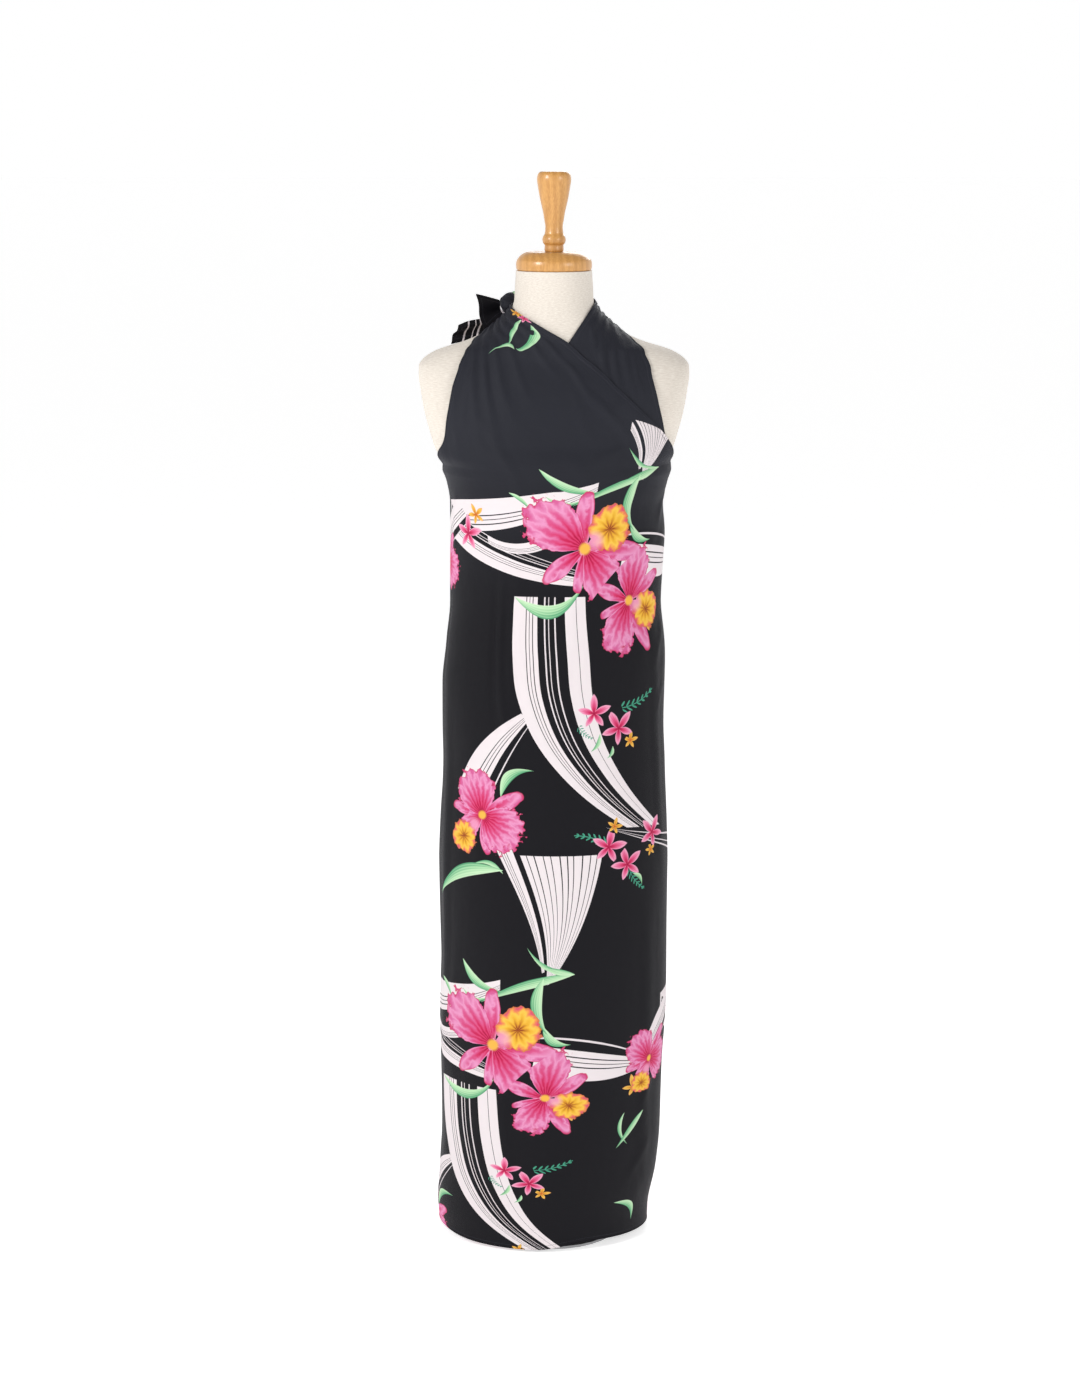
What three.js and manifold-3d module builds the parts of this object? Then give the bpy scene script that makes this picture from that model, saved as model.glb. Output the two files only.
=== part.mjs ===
// A sarong dress: one printed cloth wound twice round a limbless dress form and tied behind the neck.
// Millimetres, +Z up. The front of the dress looks towards -Y, the viewer's left is -X, and the origin
// is the centre of the stand's underside.
//
// The cloth is worked out on level slices. A place on it is a turn, in degrees seen from above (0 at the
// viewer's right side, 90 in front, 180 at the left side, 270 behind), and a height. The winding starts
// inside at turn -20, crosses the front, goes round the back and ends outside at turn 560.

import * as THREE from "three";
import { mergeVertices } from "three/addons/utils/BufferGeometryUtils.js";
import Module from "manifold-3d";

// Driving dimensions
const WALL = 1.5; // thickness of one layer of cloth
const LAYER_GAP = 0.9; // air between two turns of the cloth on the skirt
const CHEST_GAP = 1.9; // air between the two halves of the halter
const SEAM = 0.3; // air where one stretch of cloth goes on in the next
const BUST = 1169; // height where the cloth leaves its own slices and follows the form
const WRAP_START = 180; // turns between which the cloth steps out by one layer
const WRAP_END = 360;
const NECK_TOP = 1452.7; // top of the form's linen
const TORSO_BOTTOM = 640;
const CAP_BOTTOM = 1453;
const CAP_TOP = 1479;
const CAP_RADIUS = 54.5;
const HANDLE_TOP = 1591.5;
const POLE_RADIUS = 12.5;
const BASE_RADIUS = 105;
const BASE_HEIGHT = 8;

/** Rows of named columns. */
function table(columns, rows) {
  return rows.map((row) => Object.fromEntries(columns.map((name, k) => [name, row[k]])));
}

// Level slices of the dress form: half width, depth in front, depth behind, squareness of the outline
const FORM = table(["z", "half", "front", "back", "square"], [
  [TORSO_BOTTOM, 138, 98, 92, 2.0],
  [652, 147, 104, 99, 2.0],
  [700, 152, 110, 108, 2.0],
  [780, 156, 114, 114, 2.0],
  [860, 153, 110, 110, 2.0],
  [940, 138, 101, 96, 2.0],
  [1010, 127, 97, 86, 2.05],
  [1080, 133, 108, 88, 2.1],
  [1130, 143, 121, 95, 2.2],
  [1150, 148.5, 125.5, 97, 2.25],
  [BUST, 151.5, 126.5, 99, 2.3],
  [1185, 161, 124.5, 100, 2.35],
  [1197, 170.5, 121.5, 100, 2.4],
  [1224, 179.5, 114, 100, 2.5],
  [1253, 187, 104, 98, 2.6],
  [1282, 192, 92, 93, 2.6],
  [1306, 195, 80, 87, 2.5],
  [1318, 194.5, 74, 82, 2.35],
  [1327, 189, 70, 78, 2.2],
  [1339.5, 170, 66, 73, 2.05],
  [1354, 125, 61, 67, 2],
  [1368, 95, 58, 62, 2],
  [1382, 76, 56, 59.5, 2],
  [1397, 62, 54.5, 57, 2],
  [1411, 57, 54, 55.5, 2],
  [1432, 55.8, 54, 55, 2],
  [NECK_TOP, 54.5, 54, 54.5, 2],
]);

// Level slices of the wound cloth, on the outer face of the outer turn: shift is the middle's place in X
const CLOTH = table(["z", "half", "shift", "front", "back", "square"], [
  [0, 160, -14.6, 118, 114, 2.0],
  [35, 162, -15.4, 118.5, 115, 2.0],
  [100, 166.1, -7.7, 120, 117, 2.0],
  [165, 167.1, -3.1, 121.5, 119, 2.0],
  [262, 168.5, -2.5, 123.5, 121, 2.0],
  [358, 171.5, -0.3, 125, 123, 2.0],
  [453, 170.6, 1, 126.5, 124.5, 2.0],
  [579, 171, 1, 127.5, 126, 2.0],
  [641, 168.9, 0.9, 128, 126.5, 2.0],
  [733, 165.1, 0.8, 128, 126.5, 2.0],
  [794, 164.5, -0.7, 128, 126, 2.0],
  [855, 164.8, 0, 127, 123, 2.0],
  [915, 161.2, 2.9, 124, 117, 2.0],
  [975, 154.9, 2.7, 121.5, 111, 2.0],
  [1034, 155.9, 4.2, 123, 108.5, 2.0],
  [1078, 156.9, 5.5, 127, 108, 2.05],
  [1122, 155, 4, 132, 109, 2.15],
  [1152, 159.9, 4.7, 135, 110.5, 2.2],
  [BUST, 165.5, 4.6, 135, 111, 2.25],
]);

// How far the innermost cloth stands off the form above the bust
const CLEARANCE = table(["z", "off"], [
  [BUST, 3], [1240, 2.6], [1300, 2.0], [1355, 1.7], [1390, 1.6], [1410, 1.4],
]);

// Height of the hem above the floor round the skirt
const HEM = table(["turn", "height"], [
  [0, 10], [40, 13], [65, 15], [95, 5], [130, 7], [180, 14], [270, 12], [360, 10],
]);

// Heights of the rows of the skirt above its hem
const SKIRT_ROWS = [60, 165, 300, 453, 600, 733, 820, 900, 975, 1045];

// Rows of the halter. Both of its edges are given at each row, by a place seen from the front (x) or,
// at the sides, by its turn. level is 0 on the inner layer and 1 on the outer one.
const OUTER_ROWS = [
  { edge: { turn: 0, z: 1100 }, free: { turn: 198, z: 1100 }, level: 1 },
  { edge: { turn: 0, z: 1128 }, free: { turn: 193, z: 1128 }, level: 1 },
  { edge: { turn: 0, z: 1150 }, free: { turn: 185, z: 1150 }, level: 1 },
  { edge: { turn: 0, z: 1173 }, free: { turn: 173, z: 1173 }, level: 1 },
  { edge: { turn: 11, z: 1188 }, free: { turn: 163, z: 1187 }, level: 1 },
  { edge: { turn: 21, z: 1204 }, free: { turn: 156, z: 1200 }, level: 1 },
  { edge: { x: 158, z: 1221 }, free: { x: -155, z: 1214 }, level: 1 },
  { edge: { x: 120, z: 1262 }, free: { x: -149, z: 1252 }, level: 1 },
  { edge: { x: 80, z: 1300 }, free: { x: -142, z: 1289 }, level: 1 },
  { edge: { x: 48, z: 1328 }, free: { x: -135, z: 1313 }, level: 1 },
  { edge: { x: 19.5, z: 1353 }, free: { x: -128, z: 1332 }, level: 0.9 },
  { edge: { x: -20, z: 1377 }, free: { x: -120, z: 1346 }, level: 0.5 },
  { edge: { x: -45, z: 1391 }, free: { x: -113, z: 1357 }, level: 0.2 },
  { edge: { turn: 166, z: 1401 }, free: { turn: 170, z: 1363 }, level: 0 },
  { edge: { turn: 186, z: 1405 }, free: { turn: 186, z: 1367 }, level: 0 },
];
const UNDER_ROWS = [
  { free: { turn: -16, z: 1100 }, edge: { turn: 180, z: 1095 } },
  { free: { turn: -7, z: 1128 }, edge: { turn: 180, z: 1124 } },
  { free: { turn: 2, z: 1150 }, edge: { turn: 180, z: 1142 } },
  { free: { turn: 11, z: 1172 }, edge: { turn: 180, z: 1156 } },
  { free: { turn: 18, z: 1188 }, edge: { turn: 160, z: 1174 } },
  { free: { turn: 24, z: 1204 }, edge: { turn: 143, z: 1198 } },
  { free: { x: 158, z: 1221 }, edge: { turn: 126, z: 1228 } },
  { free: { x: 152, z: 1250 }, edge: { turn: 114, z: 1258 } },
  { free: { x: 146, z: 1276 }, edge: { turn: 104, z: 1288 } },
  { free: { x: 138, z: 1308 }, edge: { turn: 92, z: 1322 } },
  { free: { x: 130, z: 1334 }, edge: { x: 19.5, z: 1352 } },
  { free: { x: 121, z: 1349 }, edge: { x: 33, z: 1372 } },
  { free: { turn: 16, z: 1360 }, edge: { x: 45, z: 1389 } },
  { free: { turn: 5, z: 1366 }, edge: { turn: 22, z: 1404 } },
  { free: { turn: -6, z: 1368 }, edge: { turn: -6, z: 1411 } },
];

// How finely the cloth is divided: columns, and the halter row from which rows are doubled
const OUTER_COLUMNS = 34;
const OUTER_FINE_FROM = 6;
const UNDER_COLUMNS = 28;
const UNDER_FINE_FROM = 7;
const BACK_COLUMNS = 26;

// Gathers of each half of the halter: place across it (0 at the first edge, 1 at the second), half
// width in the same measure, height of the ridge, and how many rows it runs down from the shoulder
const OUTER_GATHERS = table(["at", "half", "ridge", "rows"], [
  [0.07, 0.07, 1.6, 3.2],
  [0.24, 0.1, 2.8, 6.5],
  [0.44, 0.1, 3.2, 5.2],
  [0.62, 0.085, 3.0, 7.5],
  [0.79, 0.085, 2.8, 6.2],
  [0.94, 0.06, 1.8, 4.0],
]);
const UNDER_GATHERS = table(["at", "half", "ridge", "rows"], [
  [0.1, 0.09, 1.8, 4.2],
  [0.3, 0.1, 2.8, 5.6],
  [0.52, 0.1, 3.0, 4.6],
  [0.74, 0.1, 2.6, 3.6],
  [0.93, 0.07, 1.6, 2.6],
]);

// Long soft folds of the skirt: turn and height at the foot and at the head, half width in degrees, ridge
const SKIRT_FOLDS = table(["turn0", "z0", "turn1", "z1", "half", "ridge"], [
  [478, 620, 470, 1075, 8, 2.2],
  [392, 40, 396, 560, 9, 1.8],
  [524, 60, 520, 900, 9, 2.2],
  [380, 560, 388, 1010, 8, 1.6],
  [212, 90, 214, 1020, 9, 2.4],
  [246, 500, 240, 1120, 8, 2.2],
  [284, 30, 280, 760, 9, 2.6],
  [322, 240, 318, 1090, 8, 2.4],
]);

// The gathered corners behind the neck: turn, height of the lower and upper edge, height of the gathers
const BAND_RIGHT = table(["turn", "low", "high", "ridge"], [
  [-6.5, 1368, 1411, 2.2],
  [-30, 1374, 1413, 2.6],
  [-60, 1381, 1415, 2.8],
  [-90, 1385, 1415, 2.8],
  [-115, 1385, 1411, 2.6],
  [-138, 1384, 1404, 2.2],
]);
const BAND_LEFT = table(["turn", "low", "high", "ridge"], [
  [186.4, 1367, 1405, 2.4],
  [196, 1374, 1405, 2.8],
  [206, 1380, 1404, 2.6],
  [216, 1383, 1402, 2.2],
]);
const BAND_GATHERS = 4;

// The knot, a lump of crossing folds: its middle on the neck, its size along the band, out and up
const KNOT = { turn: 220, z: 1397, off: 18, along: 19, out: 13.5, up: 16, fold: 1.5 };

// The free ends: stations from the knot outwards, upper and lower edge
const TAIL_UPPER = table(["topX", "topY", "topZ", "lowX", "lowY", "lowZ"], [
  [-60, 45, 1402, -61, 43, 1390],
  [-76, 43, 1407, -78, 38, 1385],
  [-92, 36, 1412, -90, 31, 1375],
  [-104, 30, 1415.5, -97, 27, 1368.5],
  [-112, 26, 1417.5, -101, 25, 1365],
]);
const TAIL_LOWER = table(["topX", "topY", "topZ", "lowX", "lowY", "lowZ"], [
  [-62, 50, 1392, -60, 52, 1380],
  [-82, 52, 1386, -80, 61, 1368],
  [-104, 49, 1381, -104, 60, 1358],
  [-124, 44, 1377.5, -128, 56, 1351],
  [-138, 41, 1372, -150, 52, 1346],
]);
const TAIL_FOLD = 2.6; // height of the soft fold along each free end

// Turned wood of the neck cap and the handle: radius and height, from the axis round to the axis
const CAP_PROFILE = [
  [0, CAP_BOTTOM], [51.5, CAP_BOTTOM], [54, 1456], [CAP_RADIUS, 1461], [53.2, 1467.5], [49, 1473],
  [43.5, 1477], [37.5, CAP_TOP], [0, CAP_TOP],
];
const HANDLE_PROFILE = [
  [0, CAP_TOP + SEAM], [12.6, CAP_TOP + SEAM], [13.7, 1483], [13.4, 1488], [16, 1492], [16.8, 1496.5],
  [15.6, 1501], [13.4, 1505], [12.5, 1514], [14, 1524], [15.6, 1534], [18.2, 1545], [20.6, 1556],
  [22.8, 1569], [24.4, 1580], [23.6, 1586], [21.4, 1590], [18.5, HANDLE_TOP], [0, HANDLE_TOP],
];
const BASE_PROFILE = [
  [0, 0], [BASE_RADIUS - 1, 0], [BASE_RADIUS, 1], [BASE_RADIUS, 4.5], [BASE_RADIUS - 4, 7],
  [BASE_RADIUS - 12, BASE_HEIGHT], [0, BASE_HEIGHT],
];

/** A value of one column of a table at a place, on a smooth curve that never overshoots its rows. */
function pick(rows, key, at, column) {
  const last = rows.length - 1;
  if (at <= rows[0][key]) return rows[0][column];
  if (at >= rows[last][key]) return rows[last][column];
  let k = 0;
  while (rows[k + 1][key] < at) k += 1;
  const slope = (i) => (rows[i + 1][column] - rows[i][column]) / (rows[i + 1][key] - rows[i][key]);
  const tangent = (i) => {
    if (i === 0 || i === last) return slope(Math.min(i, last - 1));
    const [before, after] = [slope(i - 1), slope(i)];
    return before * after <= 0 ? 0 : (2 * before * after) / (before + after);
  };
  const span = rows[k + 1][key] - rows[k][key];
  const t = (at - rows[k][key]) / span;
  const [t2, t3] = [t * t, t * t * t];
  return (2 * t3 - 3 * t2 + 1) * rows[k][column] + (t3 - 2 * t2 + t) * span * tangent(k)
    + (3 * t2 - 2 * t3) * rows[k + 1][column] + (t3 - t2) * span * tangent(k + 1);
}

/** A soft step from 0 to 1 between two values. */
function ease(from, to, at) {
  return THREE.MathUtils.smoothstep(at, from, to);
}

/** A soft bump, 1 in the middle and 0 from one half width away. */
function bump(distance) {
  return Math.abs(distance) < 1 ? Math.cos((distance * Math.PI) / 2) ** 2 : 0;
}

/** One level slice of the form. */
function formSlice(z) {
  const at = (column) => pick(FORM, "z", z, column);
  return { half: at("half"), shift: 0, front: at("front"), back: at("back"), square: at("square") };
}

/** One level slice of the innermost layer's inner face. */
function clothSlice(z) {
  const at = (column) => pick(CLOTH, "z", z, column);
  const layers = 2 * WALL + LAYER_GAP;
  const own = {
    half: at("half") - layers, shift: at("shift"), front: at("front") - layers,
    back: at("back") - layers, square: at("square"),
  };
  if (z <= BUST) return own;
  const form = formSlice(z);
  const off = pick(CLEARANCE, "z", z, "off");
  const follow = ease(BUST, BUST + 45, z);
  return {
    half: Math.max(form.half + off, own.half * (1 - ease(BUST + 20, BUST + 60, z))),
    shift: own.shift * (1 - ease(BUST, BUST + 28, z)),
    front: THREE.MathUtils.lerp(Math.max(own.front, form.front + off), form.front + off, follow),
    back: THREE.MathUtils.lerp(Math.max(own.back, form.back + off), form.back + off, follow),
    square: form.square,
  };
}

/** A point of a slice's outline. */
function slicePoint(slice, turn, z) {
  const angle = THREE.MathUtils.degToRad(turn);
  const rounded = (value) => Math.sign(value) * Math.abs(value) ** (2 / slice.square);
  const depth = Math.sin(angle) > 0 ? slice.front : slice.back;
  return new THREE.Vector3(
    slice.shift + slice.half * rounded(Math.cos(angle)), -depth * rounded(Math.sin(angle)), z,
  );
}

/** The turn of the cloth's place that is seen at x from the front. */
function turnAt(x, z) {
  const slice = clothSlice(z);
  const share = THREE.MathUtils.clamp((x - slice.shift) / slice.half, -1, 1);
  const cosine = Math.sign(share) * Math.abs(share) ** (slice.square / 2);
  return THREE.MathUtils.radToDeg(Math.acos(cosine));
}

/** A point of the cloth, a distance out from the innermost layer's inner face. */
function clothPoint(turn, z, out) {
  const point = (t, h) => slicePoint(clothSlice(h), t, h);
  const along = point(turn + 0.5, z).sub(point(turn - 0.5, z));
  const up = point(turn, z + 1).sub(point(turn, z - 1));
  return point(turn, z).addScaledVector(up.cross(along).normalize(), out);
}

/** The distance from one layer to the next: wider where the two halves of the halter cross. */
function layerStep(z) {
  return WALL + THREE.MathUtils.lerp(LAYER_GAP, CHEST_GAP, ease(1080, 1165, z));
}

/** How far the skirt's folds lift the cloth. */
function skirtFolds(turn, z) {
  return SKIRT_FOLDS.reduce((sum, fold) => {
    const share = (z - fold.z0) / (fold.z1 - fold.z0);
    if (share <= 0 || share >= 1) return sum;
    const middle = THREE.MathUtils.lerp(fold.turn0, fold.turn1, share);
    return sum + fold.ridge * bump((turn - middle) / fold.half) * Math.sin(Math.PI * share) ** 0.7;
  }, 0);
}

/** How far the halter's gathers lift the cloth, at a place across it and a count of rows from its end. */
function gathers(list, across, rowsLeft) {
  return list.reduce((sum, fold) => {
    const share = Math.max(0, 1 - rowsLeft / fold.rows);
    return sum + fold.ridge * bump((across - fold.at) / fold.half) * share ** 1.3;
  }, 0);
}

/** A closed wall between two grids of points, outer[row][column] and inner[row][column]. */
function wall(outer, inner) {
  const rows = outer.length;
  const columns = outer[0].length;
  const positions = [...outer.flat(), ...inner.flat()].flatMap((p) => [p.x, p.y, p.z]);
  const faces = [];
  const quad = (a, b, c, d) => faces.push(a, b, c, a, c, d);
  const out = (j, i) => j * columns + i;
  const inn = (j, i) => rows * columns + j * columns + i;
  for (let j = 0; j < rows - 1; j += 1) {
    for (let i = 0; i < columns - 1; i += 1) {
      quad(out(j, i), out(j, i + 1), out(j + 1, i + 1), out(j + 1, i));
      quad(inn(j, i), inn(j + 1, i), inn(j + 1, i + 1), inn(j, i + 1));
    }
  }
  for (let j = 0; j < rows - 1; j += 1) {
    quad(out(j, 0), out(j + 1, 0), inn(j + 1, 0), inn(j, 0));
    quad(out(j, columns - 1), inn(j, columns - 1), inn(j + 1, columns - 1), out(j + 1, columns - 1));
  }
  for (let i = 0; i < columns - 1; i += 1) {
    quad(out(0, i), inn(0, i), inn(0, i + 1), out(0, i + 1));
    quad(out(rows - 1, i), out(rows - 1, i + 1), inn(rows - 1, i + 1), inn(rows - 1, i));
  }
  return outward(positions, faces);
}

/** An indexed geometry whose faces point out. */
function outward(positions, faces) {
  let volume = 0;
  const corner = (k) => new THREE.Vector3().fromArray(positions, 3 * k);
  for (let f = 0; f < faces.length; f += 3) {
    volume += corner(faces[f]).dot(corner(faces[f + 1]).cross(corner(faces[f + 2])));
  }
  if (volume < 0) {
    for (let f = 0; f < faces.length; f += 3) {
      [faces[f + 1], faces[f + 2]] = [faces[f + 2], faces[f + 1]];
    }
  }
  const geometry = new THREE.BufferGeometry();
  geometry.setAttribute("position", new THREE.Float32BufferAttribute(positions, 3));
  geometry.setIndex(faces);
  geometry.computeVertexNormals();
  return geometry;
}

/** The rows of a stretch of cloth, each with the turn and height of its two ends; k counts the halter's. */
function stretchRows(firstTurn, lastTurn, halterRows) {
  const ends = { firstTurn, lastTurn, level: 1, k: -Infinity };
  const skirt = SKIRT_ROWS.map((z) => ({ ...ends, firstZ: z, lastZ: z }));
  return [{ ...ends, firstZ: null, lastZ: null }, ...skirt, ...halterRows];
}

/** A stretch of cloth from rows of ends, with its lift above the innermost layer. */
function stretch(rows, columns, lift) {
  const grid = (depth) => rows.map((row) => {
    const line = [];
    for (let i = 0; i <= columns; i += 1) {
      const across = i / columns;
      const turn = THREE.MathUtils.lerp(row.firstTurn, row.lastTurn, across);
      const hem = pick(HEM, "turn", ((turn % 360) + 360) % 360, "height");
      const z = row.firstZ === null ? hem : THREE.MathUtils.lerp(row.firstZ, row.lastZ, across);
      line.push(clothPoint(turn, z, lift(across, turn, z, row) + depth));
    }
    return line;
  });
  return wall(grid(WALL), grid(0));
}

/** Halter rows with one more row, on the same smooth curves, between those from a given row on. */
function refined(rows, from) {
  const counted = rows.map((row, k) => ({ ...row, k }));
  const columns = ["firstTurn", "firstZ", "lastTurn", "lastZ", "level"];
  const places = rows.flatMap((_, k) => (k < from || k === rows.length - 1 ? [k] : [k, k + 0.5]));
  return places.map((k) => ({
    ...Object.fromEntries(columns.map((column) => [column, pick(counted, "k", k, column)])), k,
  }));
}

/** The turn of one end of a halter row. */
function endTurn(end) {
  return "turn" in end ? end.turn : turnAt(end.x, end.z);
}

/** Half a seam's air, as a turn. */
const SEAM_TURN = THREE.MathUtils.radToDeg(SEAM / 2 / CLOTH[0].back);

/** The first turn across the front, innermost. */
function underFront() {
  const halter = refined(UNDER_ROWS.map(({ free, edge }) => ({
    firstTurn: endTurn(free), firstZ: free.z, level: 0,
    lastTurn: endTurn(edge) - (edge.turn === WRAP_START ? SEAM_TURN : 0), lastZ: edge.z,
  })), UNDER_FINE_FROM);
  const rows = stretchRows(-20, WRAP_START - SEAM_TURN, halter);
  const lift = (across, turn, z, row) => gathers(UNDER_GATHERS, across, UNDER_ROWS.length - 1 - row.k);
  return stretch(rows, UNDER_COLUMNS, lift);
}

/** The turn across the back, which steps out by one layer. */
function backWrap() {
  const top = table(["firstZ", "lastZ"], [[1100, 1100], [1124, 1128], [1142, 1150], [1156, 1173]]);
  const [first, last] = [WRAP_START + SEAM_TURN, WRAP_END - SEAM_TURN];
  const rows = stretchRows(first, last, top.map((row) => ({ ...row, firstTurn: first, lastTurn: last })));
  const lift = (across, turn, z) => {
    const folds = skirtFolds(turn, z) * ease(WRAP_START, WRAP_START + 25, turn);
    return layerStep(z) * ease(WRAP_START, WRAP_END, turn) + folds * ease(WRAP_END, WRAP_END - 15, turn);
  };
  return stretch(rows, BACK_COLUMNS, lift);
}

/** The last turn across the front, outermost. */
function outerFront() {
  const halter = refined(OUTER_ROWS.map(({ edge, free, level }) => ({
    firstTurn: endTurn(edge) + 360 + (edge.turn === 0 ? SEAM_TURN : 0), firstZ: edge.z, level,
    lastTurn: endTurn(free) + 360, lastZ: free.z,
  })), OUTER_FINE_FROM);
  const rows = stretchRows(WRAP_END + SEAM_TURN, 560, halter);
  const lift = (across, turn, z, row) => {
    const folds = skirtFolds(turn, z) * ease(WRAP_END, WRAP_END + 12, turn);
    return layerStep(z) * row.level + folds + gathers(OUTER_GATHERS, across, OUTER_ROWS.length - 1 - row.k);
  };
  return stretch(rows, OUTER_COLUMNS, lift);
}

/** A gathered corner that runs round the neck on its own wall. */
function neckBand(rows, steps, columns) {
  const [first, last] = [rows[0].turn, rows[rows.length - 1].turn];
  const along = rows.map((row) => ({ ...row, share: (row.turn - first) / (last - first) }));
  const grid = (depth) => Array.from({ length: steps + 1 }, (_, j) => {
    const at = (column) => pick(along, "share", j / steps, column);
    const turn = THREE.MathUtils.lerp(first, last, j / steps);
    return Array.from({ length: columns + 1 }, (__, i) => {
      const wave = 0.5 - 0.5 * Math.cos((2 * Math.PI * BAND_GATHERS * i) / columns);
      const z = THREE.MathUtils.lerp(at("low"), at("high"), i / columns);
      return clothPoint(turn, z, at("ridge") * wave + depth);
    });
  });
  return wall(grid(WALL), grid(0));
}

/** The knot, a rounded lump with crossing folds, grown by a margin. */
function knot(margin) {
  const middle = clothPoint(KNOT.turn, KNOT.z, KNOT.off);
  const out = clothPoint(KNOT.turn, KNOT.z, KNOT.off + 1).sub(middle);
  const level = new THREE.Vector3(out.x, out.y, 0).normalize();
  const along = new THREE.Vector3(-level.y, level.x, 0);
  const shape = new THREE.SphereGeometry(1, 22, 14);
  shape.deleteAttribute("normal");
  shape.deleteAttribute("uv");
  const merged = mergeVertices(shape, 1e-5);
  const place = merged.getAttribute("position");
  for (let k = 0; k < place.count; k += 1) {
    const p = new THREE.Vector3().fromBufferAttribute(place, k);
    const wrap = bump((p.x + 0.45 * p.z) / 0.42) + 0.7 * bump((p.x - 0.75 * p.z - 0.5) / 0.4);
    const reach = 1 + (KNOT.fold * wrap + margin) / KNOT.out;
    const world = middle.clone()
      .addScaledVector(along, p.x * KNOT.along * reach)
      .addScaledVector(level, p.y * KNOT.out * reach)
      .addScaledVector(new THREE.Vector3(0, 0, 1), p.z * KNOT.up * reach);
    place.setXYZ(k, world.x, world.y, world.z);
  }
  return outward([...place.array], [...merged.index.array]);
}

/** A free end of the cloth, a wall with a soft fold along it. */
function tail(stations, columns) {
  const steps = 2 * (stations.length - 1);
  const rows = stations.map((station, k) => ({ ...station, share: k / (stations.length - 1) }));
  const edge = (share, side) => new THREE.Vector3(...["X", "Y", "Z"]
    .map((axis) => pick(rows, "share", share, side + axis)));
  const grid = (depth) => Array.from({ length: steps + 1 }, (_, j) => {
    const share = j / steps;
    const [top, low] = [edge(share, "top"), edge(share, "low")];
    const along = edge(Math.min(1, share + 0.1), "top").sub(edge(Math.max(0, share - 0.1), "top"));
    const face = along.cross(low.clone().sub(top)).normalize();
    return Array.from({ length: columns + 1 }, (__, i) => {
      const fold = TAIL_FOLD * Math.sin((2.5 * Math.PI * i) / columns);
      return top.clone().lerp(low, i / columns).addScaledVector(face, fold + depth);
    });
  });
  return wall(grid(WALL / 2), grid(-WALL / 2));
}

/** The form's linen torso, shoulders and neck, closed at both ends. */
function torso() {
  const columns = 36;
  const rings = FORM.map(({ z }) => z);
  const positions = rings.flatMap((z) => Array.from({ length: columns }, (_, i) => (
    slicePoint(formSlice(z), (360 * i) / columns, z).toArray())).flat());
  const faces = [];
  for (let j = 0; j < rings.length - 1; j += 1) {
    for (let i = 0; i < columns; i += 1) {
      const [a, b] = [j * columns + i, j * columns + ((i + 1) % columns)];
      faces.push(a, b, b + columns, a, b + columns, a + columns);
    }
  }
  const bottom = rings.length * columns;
  positions.push(0, 0, rings[0], 0, 0, rings[rings.length - 1]);
  for (let i = 0; i < columns; i += 1) {
    const next = (i + 1) % columns;
    const top = (rings.length - 1) * columns;
    faces.push(bottom, next, i, bottom + 1, top + i, top + next);
  }
  return outward(positions, faces);
}

/** A turned piece from its profile of radius and height. */
function turned(profile, segments) {
  const shape = new THREE.LatheGeometry(profile.map(([r, z]) => new THREE.Vector2(r, z)), segments);
  shape.rotateX(Math.PI / 2);
  shape.deleteAttribute("normal");
  shape.deleteAttribute("uv");
  const merged = mergeVertices(shape, 1e-4);
  return outward([...merged.getAttribute("position").array], wholeFaces([...merged.index.array]));
}

/** The faces that keep three corners once doubles on the axis are merged. */
function wholeFaces(index) {
  const faces = [];
  for (let f = 0; f < index.length; f += 3) {
    const [a, b, c] = index.slice(f, f + 3);
    if (a !== b && b !== c && c !== a) faces.push(a, b, c);
  }
  return faces;
}

const wasm = await Module();
wasm.setup();

/** A geometry as a solid that can be cut. */
function solid(geometry) {
  const vertProperties = new Float32Array(geometry.getAttribute("position").array);
  const triVerts = new Uint32Array(geometry.index.array);
  return new wasm.Manifold(new wasm.Mesh({ numProp: 3, vertProperties, triVerts }));
}

/** What is left of a piece outside another one. */
function cutBy(piece, cutter) {
  const mesh = solid(piece).subtract(solid(cutter)).getMesh();
  return outward([...mesh.vertProperties], [...mesh.triVerts]);
}

const LINEN = { color: 0xefe6dd, roughness: 0.9 };
const CLOTH_LOOK = { color: 0x2b2b33, roughness: 0.75, side: THREE.DoubleSide };
const WOOD = { color: 0xd9994f, roughness: 0.4 };
const STEEL = { color: 0x8c8c8c, roughness: 0.4, metalness: 1 };

const around = knot(SEAM);
const pieces = [
  ["under_front", underFront(), CLOTH_LOOK],
  ["back_wrap", backWrap(), CLOTH_LOOK],
  ["outer_front", outerFront(), CLOTH_LOOK],
  ["neck_band_right", cutBy(neckBand(BAND_RIGHT, 12, 16), around), CLOTH_LOOK],
  ["neck_band_left", cutBy(neckBand(BAND_LEFT, 5, 16), around), CLOTH_LOOK],
  ["knot", knot(0), CLOTH_LOOK],
  ["tail_upper", cutBy(tail(TAIL_UPPER, 8), around), CLOTH_LOOK],
  ["tail_lower", cutBy(tail(TAIL_LOWER, 8), around), CLOTH_LOOK],
  ["form_torso", torso(), LINEN],
  ["form_neck_cap", turned(CAP_PROFILE, 32), WOOD],
  ["form_handle", turned(HANDLE_PROFILE, 24), WOOD],
  ["form_pole", turned([
    [0, BASE_HEIGHT + SEAM], [POLE_RADIUS, BASE_HEIGHT + SEAM],
    [POLE_RADIUS, TORSO_BOTTOM - SEAM], [0, TORSO_BOTTOM - SEAM],
  ], 20), STEEL],
  ["form_base", turned(BASE_PROFILE, 32), STEEL],
];

const dress = new THREE.Group();
for (const [name, geometry, look] of pieces) {
  const mesh = new THREE.Mesh(geometry, new THREE.MeshStandardMaterial(look));
  mesh.name = name;
  dress.add(mesh);
}

export default dress;
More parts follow.
